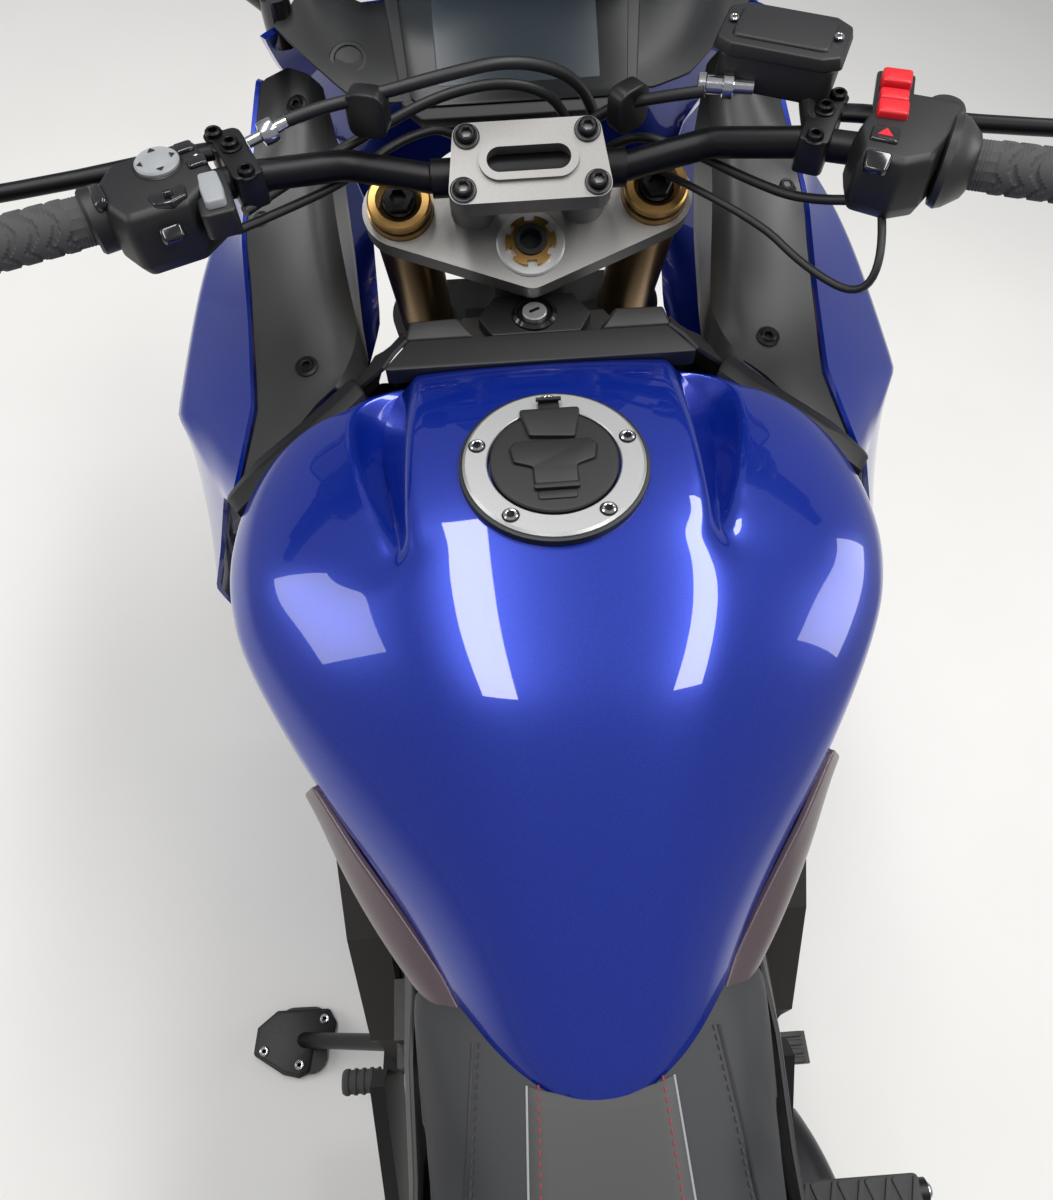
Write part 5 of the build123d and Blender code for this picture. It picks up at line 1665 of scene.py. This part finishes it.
class MOTO_OT_seats(bpy.types.Operator):
    """Makes both padded seats with their seams, stitching and the rider's lighter insert."""

    bl_idname = "moto.seats"
    bl_label = "Seats"

    def execute(self, context):
        rider = [
            (-140, 112, 806, 798), (-158, 132, 811, 801), (-195, 133, 812, 801),
            (-260, 127, 813, 797), (-330, 122, 807, 790), (-400, 127, 808, 790),
            (-460, 133, 816, 797), (-510, 130, 832, 812), (-548, 118, 846, 826),
        ]
        pad = cushion("rider_cushion", rider, 26, SEAT_CAP_MM)
        context.view_layer.update()
        rows = []
        for i in range(23):
            half = 47 + 0.6 * i
            curve = max(0.0, 1 - i / 4) * 9
            row = []
            for y in (1, 0.75, 0.5, 0.25, 0, -0.25, -0.5, -0.75, -1):
                row.append(laid_on(pad, -232 - i * 12 - curve * (1 - y * y), y * half, 1.0))
            rows.append(row)
        insert = skin("seat_insert", rows)
        modify(insert, "SOLIDIFY", thickness=2.4, offset=0.2)
        soften(insert, 0.9, 2, 0.6)
        edge = [(row[0][0], row[0][1] - 7.0) for row in rows]
        outer = [(-204 - i * 24, 78 + 0.10 * i * 24) for i in range(12)]
        red = [
            stitches("red_stitches_left", pad, edge, 2.0),
            stitches("red_stitches_right", pad, [(x, -y) for x, y in edge], 2.0),
        ]
        dark = [
            stitches("seam_left", pad, outer),
            stitches("seam_right", pad, [(x, -y) for x, y in outer]),
        ]
        seams, highlight_cords = [], []
        for side in (1, -1):
            seams.append(
                tube(
                    "seam_cord",
                    [laid_on(pad, x, side * (y + 3.5), -0.4) for x, y in outer],
                    1.4,
                    3,
                    2,
                )
            )
            # A raised cord along each edge of the insert, made pale grey to paint the highlight
            # along that edge.
            highlight_cords.append(
                tube(
                    "insert_highlight_cord",
                    [laid_on(pad, x, side * (y + 7.6), 0.8) for x, y in edge[::2]],
                    0.9,
                    3,
                    2,
                )
            )
        # The cords' pale grey is a painted highlight on the insert's edges.
        on_frame(joined("seat_highlight_piping", highlight_cords), "grey_switch_plastic")
        on_frame(insert, "seat_insert_vinyl", slot="seat_cover")
        on_frame(joined("seat_red_stitching", red), "red_thread")
        on_frame(joined("seat_dark_stitching", dark), "black_thread")
        on_frame(joined("seat_seams", seams), "cable_sheath")
        on_frame(pad, "seat_vinyl", ["rider_seat"], 60, "seat_cover")
        pillion = [
            (-572, 116, 884, 862), (-640, 121, 890, 863), (-720, 118, 894, 866),
            (-800, 108, 898, 868), (-872, 76, 900, 876),
        ]
        rear = cushion("pillion_cushion", pillion, 30, SEAT_CAP_MM)
        context.view_layer.update()
        line = [(-600 - i * 22, 88 - 0.06 * i * 22) for i in range(12)]
        threads = [
            stitches("pillion_left", rear, line),
            stitches("pillion_right", rear, [(x, -y) for x, y in line]),
        ]
        on_frame(joined("pillion_stitching", threads), "black_thread")
        on_frame(rear, "seat_vinyl", ["pillion_seat"], 60, "seat_cover")
        return {"FINISHED"}


def whole_width(rows):
    """Rows given from the left edge to the middle, continued to the right edge."""
    return [[*row, *[(x, -y, z) for x, y, z in row[-2::-1]]] for row in rows]


class MOTO_OT_outer_panels(bpy.types.Operator):
    """Makes the knee panels, nose, windscreen, belly and tail cowls, seat sides and headlamp."""

    bl_idname = "moto.outer_panels"
    bl_label = "Outer panels"

    def execute(self, context):
        knee_rows = [
            [(-36, 180, 864), (-80, 153, 848), (-120, 125, 830), (-160, 98, 813), (-206, 76, 800)],
            [
                (-34, 190, 843), (-80, 169, 828), (-120, 146, 814), (-160, 119, 802),
                (-208, 81, 793),
            ],
            [
                (-34, 188, 802), (-80, 171, 797), (-116, 151, 794), (-154, 127, 789),
                (-206, 84, 785),
            ],
            [
                (-36, 180, 768), (-78, 163, 768), (-112, 145, 768), (-150, 122, 766),
                (-200, 82, 766),
            ],
        ]

        def knee_lines(row, column, along):
            return 0.9 if (along and row in (0, 3)) or (not along and column in (0, 4)) else 0.0

        knee = both_sides(panel("knee_guard_panels", knee_rows, 5, knee_lines, 3, 0.5))
        on_frame(knee, "satin_mauve_lacquer", ["knee_panels"], 50, "mauve_grey")

        cover_rows = [
            [
                (-36, 168, 772), (-92, 146, 774), (-150, 121, 782), (-210, 124, 784),
                (-280, 122, 778), (-360, 124, 774),
            ],
            [
                (-36, 170, 745), (-92, 151, 748), (-146, 130, 756), (-210, 131, 754),
                (-285, 129, 746), (-362, 130, 742),
            ],
            [
                (-36, 160, 706), (-92, 146, 706), (-140, 128, 712), (-215, 128, 710),
                (-290, 126, 708), (-362, 127, 706),
            ],
        ]
        covers = both_sides(
            panel(
                "seat_side_covers",
                cover_rows,
                4,
                lambda row,
                column,
                along: 0.8 if along else 0.6,
                2,
                0.8,
            )
        )
        on_frame(covers, "moulded_black_abs")
        nose_rows = [
            [
                (552, 214, 1052), (598, 198, 1038), (640, 178, 1022), (684, 146, 1004),
                (720, 110, 988), (752, 58, 976), (772, 0, 972),
            ],
            [
                (598, 217, 1004), (640, 206, 994), (682, 180, 980), (726, 142, 962),
                (758, 100, 948), (788, 50, 936), (804, 0, 932),
            ],
            [
                (645, 215, 950), (686, 196, 940), (724, 166, 930), (764, 124, 916), (794, 80, 905),
                (816, 38, 898), (828, 0, 895),
            ],
            [
                (705, 193, 850), (738, 168, 850), (766, 140, 850), (796, 100, 847), (820, 60, 845),
                (838, 28, 843), (844, 0, 842),
            ],
            [
                (696, 173, 762), (720, 142, 770), (740, 110, 780), (762, 78, 786), (780, 50, 790),
                (790, 24, 794), (796, 0, 795),
            ],
        ]

        def nose_lines(row, column, along):
            if along:
                return {0: 1.0, 2: 0.7, 4: 1.0}.get(row, 0.0)
            return {0: 1.0, 2: 0.45, 4: 0.25, 8: 0.25, 10: 0.45, 12: 1.0}.get(column, 0.0)

        nose = panel("nose_panel", whole_width(nose_rows), 5, nose_lines, 2, 0.8)
        on_frame(nose, "metallic_blue_lacquer", ["nose_cowl"], 40, "body_paint")
        screen_rows = [
            [(640, 179, 1024), (684, 147, 1006), (722, 111, 990), (754, 58, 978), (774, 0, 974)],
            [
                (606, 178, 1066), (652, 142, 1052), (692, 104, 1038), (724, 54, 1028),
                (738, 0, 1026),
            ],
            [(590, 166, 1106), (632, 130, 1102), (664, 92, 1100), (690, 46, 1098), (700, 0, 1097)],
            [(570, 148, 1142), (600, 114, 1144), (622, 80, 1146), (636, 42, 1148), (642, 0, 1149)],
            [(522, 96, 1206), (534, 72, 1210), (540, 50, 1213), (546, 26, 1215), (548, 0, 1216)],
        ]
        screen = panel(
            "windscreen_bubble",
            whole_width(screen_rows),
            4,
            lambda row,
            column,
            along: 0.9 if row in (0, 4) and along else 0.0,
            2,
            0.6,
        )
        on_frame(screen, "smoked_screen", ["windscreen"], 60, "screen")
        bezel_loops, lens_loops = [], []
        for x, share in ((800, 1.0), (838, 1.08), (850, 1.06), (852, 0.98)):
            bezel_loops.append([(x, share * y, 843 + share * z) for y, z in oblong(104, 92, 20)])
        for x, share in ((840, 0.96), (852, 0.95), (857, 0.88), (859, 0.7), (860, 0.3)):
            lens_loops.append([(x, share * y, 843 + share * z) for y, z in oblong(100, 88, 20)])
        on_frame(loft("headlamp_bezel", bezel_loops), "gloss_black_plastic", angle=25)
        on_frame(
            loft("headlamp_lens", lens_loops), "clear_lamp_lens", ["headlamps"], 40, "lamp_lens"
        )
        bowl = turned(
            "lamp_projectors",
            [(0.01, -14), (12, -12), (17, -4), (18.5, 3), (17, 3), (12, -3), (0.01, -7)],
            32,
        )
        bowls = copies(bowl, [shift(852.5, side * 22, 843, 90, "Y") for side in (1, -1)])
        on_frame(bowls, "polished_steel", angle=40)

        belly_rows = [
            [(-10, 178, 300), (70, 212, 308), (150, 233, 320), (245, 228, 346), (340, 214, 380)],
            [(-20, 166, 240), (66, 188, 233), (150, 202, 230), (265, 190, 254), (380, 170, 290)],
            [(-10, 151, 190), (70, 158, 158), (150, 161, 136), (250, 152, 136), (350, 141, 136)],
        ]
        belly = both_sides(
            panel(
                "belly_panels",
                belly_rows,
                4,
                lambda row,
                column,
                along: 0.8 if along else 0.9 if column in (0, 4) else 0.1,
                3,
                0.8,
            )
        )
        on_frame(belly, "metallic_blue_lacquer", ["belly_cowl"], 40, "body_paint")
        tail_rows = [
            [
                (-345, 146, 782), (-450, 156, 791), (-530, 154, 814), (-600, 147, 846),
                (-700, 138, 862), (-800, 128, 873), (-900, 94, 892), (-985, 57, 905),
            ],
            [
                (-340, 159, 748), (-450, 167, 758), (-535, 164, 784), (-620, 158, 815),
                (-720, 150, 836), (-820, 137, 851), (-912, 98, 869), (-1000, 57, 885),
            ],
            [
                (-365, 149, 710), (-450, 151, 720), (-545, 147, 744), (-640, 143, 770),
                (-730, 132, 794), (-820, 119, 815), (-905, 88, 838), (-985, 55, 861),
            ],
        ]
        tail = both_sides(
            panel(
                "tail_panels",
                tail_rows,
                4,
                lambda row,
                column,
                along: 0.85 if along else 0.9 if column in (0, 7) else 0.15,
                2,
                0.8,
            )
        )
        on_frame(tail, "metallic_blue_lacquer", ["tail_cowl"], 40, "body_paint")
        return {"FINISHED"}


# Tyre columns: name, node, body, wheel centre X and Z, radius, width, half bead, groove count
TYRES = [
    ("front_tyre_tread", "front_tyre", "front_wheel", 730, 299.03, 299.9, 120, 46, 28),
    ("rear_tyre_tread", "rear_tyre", "rear_wheel", -730, 310.9, 310.9, 190, 70, 26),
]
BEAD_RADIUS = 216
TYRE_STEPS, TYRE_COLUMNS, TYRE_WALL_MM = 336, 44, 5


def tread_depth(angle, share, count):
    """How deep the tread is cut at an angle and a share of the half width, in millimetres."""
    side = 1 if share > 0 else -1
    wide = abs(share)
    phase = (angle * count / (2 * math.pi) + 0.55 * wide + (0.25 if side > 0 else 0.75)) % 1.0
    if 0.14 < wide < 0.62 and phase < 0.13:
        return 4.0
    if 0.5 < wide < 0.86 and 0.46 < phase < 0.56:
        return 3.4
    return 0.0


class MOTO_OT_tyres(bpy.types.Operator):
    """Makes both road tyres with their cut tread."""

    bl_idname = "moto.tyres"
    bl_label = "Tyres"

    def execute(self, context):
        shares = [-1 + 2 * i / TYRE_COLUMNS for i in range(TYRE_COLUMNS + 1)]
        for name, node, body, x, z, radius, width, bead, count in TYRES:
            crown = 0.31 * width
            wall = [
                (bead - 9, BEAD_RADIUS - 0.2), (bead, BEAD_RADIUS), (bead + 1, BEAD_RADIUS + 14)
            ]
            wall.append((width / 2 - 4, radius - crown - 26))
            rounds = []
            for i in range(TYRE_STEPS):
                angle = 2 * math.pi * i / TYRE_STEPS
                section = [(-y, r) for y, r in wall]
                for share in shares:
                    fall = crown * (1 - math.sqrt(max(0.0, 1 - 0.86 * share * share))) / (
                        1 - math.sqrt(0.14)
                    )
                    section.append(
                        (share * width / 2, radius - fall - tread_depth(angle, share, count))
                    )
                section += wall[::-1]
                rounds.append([(r * math.cos(angle), y, r * math.sin(angle)) for y, r in section])
            rounds.append(rounds[0])
            carcass = skin(name, rounds)
            mend(carcass, 0.05, filled=False)
            modify(carcass, "SOLIDIFY", thickness=TYRE_WALL_MM, offset=-1)
            moved(carcass, shift(x, 0, z))
            fitted(carcass, UPRIGHT, "tyre_rubber", body, [node], 38, "tyre_rubber")
        return {"FINISHED"}


class MOTO_OT_fittings(bpy.types.Operator):
    """Makes the stand's foot plate, the rubbers of the pegs and shifter, the pedal's teeth, the
    peg bolts and the mirror glasses.
    """

    bl_idname = "moto.fittings"
    bl_label = "Foot rubbers, stand plate and covers"

    def execute(self, context):
        rubber = []
        for side in (1, -1):
            pad = slab("peg_rubber", oblong(34, 132, 6), 0, 8, 2.2, 0.93)
            ribs = [
                moved(
                    slab("peg_rib", oblong(30, 5, 2), 7, 10.5, 1.2),
                    shift(0, -56 + 14 * i, 0, 18 if i % 2 else -18),
                )
                for i in range(9)
            ]
            rubber.append(moved(joined("peg", [pad, *ribs]), shift(-334, side * 276, 348)))
        on_frame(joined("peg_rubbers", rubber), "grip_rubber")
        rib = ((14, 3), (12.6, 4), (12.6, 8), (14, 9))
        ribs = [(r, 9 * k + z) for k in range(4) for r, z in rib]
        line = [(11.2, 0), (14, 1), *ribs, (14, 40), (12, 43), (0.01, 43.5)]
        tip = turned("shifter_rubber", line, 32)
        on_frame(moved(tip, shift(-191, 221, 300, -90, "X")), "grip_rubber")
        teeth = [
            moved(
                slab("pedal_tooth", oblong(6, 44, 1.5), 0, 3.6, 1.4),
                shift(-203 + 9 * i, -240, 295.8),
            )
            for i in range(4)
        ]
        on_frame(joined("pedal_teeth", teeth), "satin_black_casting")
        ends = copies(
            socket_bolt("peg_bolts", 7, 5, 0.5, flange=10),
            [shift(-334, side * 349, 340, -90 * side, "X") for side in (1, -1)],
        )
        on_frame(ends, "polished_steel", angle=25)
        foot = UPRIGHT @ Vector((-122, 365, 89))
        floored = Matrix.Translation((foot.x, foot.y, 0.0125)) @ Matrix.Scale(MM, 4)
        outline = [
            (-14, 57), (17, 54), (36, 30), (36, -36), (19, -46), (1, -43), (-7, -18), (-38, -14),
            (-43, -1), (-38, 19),
        ]
        plate = slab("stand_foot_plate", rounded(outline[::-1], 3.5, 3), 0, 7, 1.6)
        base = slab(
            "stand_foot_base",
            rounded([(x * 1.08, y * 1.06) for x, y in outline[::-1]], 4, 3),
            -10,
            0.5,
            2.5,
        )
        fitted(
            joined("stand_foot", [plate, base]),
            floored,
            "satin_black_casting",
            "side_stand",
            angle=28,
        )
        studs = copies(
            socket_bolt("stand_foot_bolts", 4.6, 2.6, 0.5, flange=6.4),
            [shift(x, y, 7) for x, y in ((25, -32), (-12, 46), (-31, -1))],
        )
        fitted(studs, floored, "polished_steel", "side_stand", angle=25)
        window = slab(
            "stand_foot_window", rounded([(10, 24), (8, 38), (22, 26)], 1.2, 3), 6.6, 7.3
        )
        fitted(window, floored, "gloss_black_plastic", "side_stand")
        for side in (1, -1):
            glass = slab(
                f"mirror_glass_{'left' if side > 0 else 'right'}",
                oblong(138, 72, 22),
                -1,
                1.2,
                0.6,
            )
            place = shift(578, side * 375, 1150, side * 12) @ shift(
                -0.6, 0, 0, -90, "Y"
            ) @ shift(turn=90)
            on_frame(moved(glass, place), "polished_steel", angle=25)
        return {"FINISHED"}


class MOTO_PT_panel(bpy.types.Panel):
    """Lists the steps in the 3D view's sidebar."""

    bl_idname = "MOTO_PT_panel"
    bl_label = "Motorcycle"
    bl_space_type = "VIEW_3D"
    bl_region_type = "UI"
    bl_category = "Motorcycle"

    def draw(self, context):
        for operator in OPERATORS:
            self.layout.operator(operator.bl_idname)


OPERATORS = [
    MOTO_OT_stage,
    MOTO_OT_finishes,
    MOTO_OT_tank,
    MOTO_OT_filler,
    MOTO_OT_steering_head,
    MOTO_OT_tank_cover,
    MOTO_OT_cowls,
    MOTO_OT_dash,
    MOTO_OT_left_switches,
    MOTO_OT_right_switches,
    MOTO_OT_controls,
    MOTO_OT_grips,
    MOTO_OT_seats,
    MOTO_OT_outer_panels,
    MOTO_OT_tyres,
    MOTO_OT_fittings,
]
CLASSES = [StageSettings, PaintSettings, TankSettings, *OPERATORS, MOTO_PT_panel]


def register():
    """Makes the classes and settings known to Blender."""
    for item in CLASSES:
        bpy.utils.register_class(item)
    bpy.types.Scene.moto_stage = bpy.props.PointerProperty(type=StageSettings)
    bpy.types.Scene.moto_paint = bpy.props.PointerProperty(type=PaintSettings)
    bpy.types.Scene.moto_tank = bpy.props.PointerProperty(type=TankSettings)


def unregister():
    """Takes the classes and settings away again."""
    del bpy.types.Scene.moto_stage
    del bpy.types.Scene.moto_paint
    del bpy.types.Scene.moto_tank
    for item in reversed(CLASSES):
        bpy.utils.unregister_class(item)


def main():
    """Runs every step in order."""
    register()
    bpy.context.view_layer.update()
    bpy.ops.object.select_all(action="DESELECT")
    for operator in OPERATORS:
        group, name = operator.bl_idname.split(".")
        getattr(getattr(bpy.ops, group), name)()


if __name__ == "__main__":
    main()
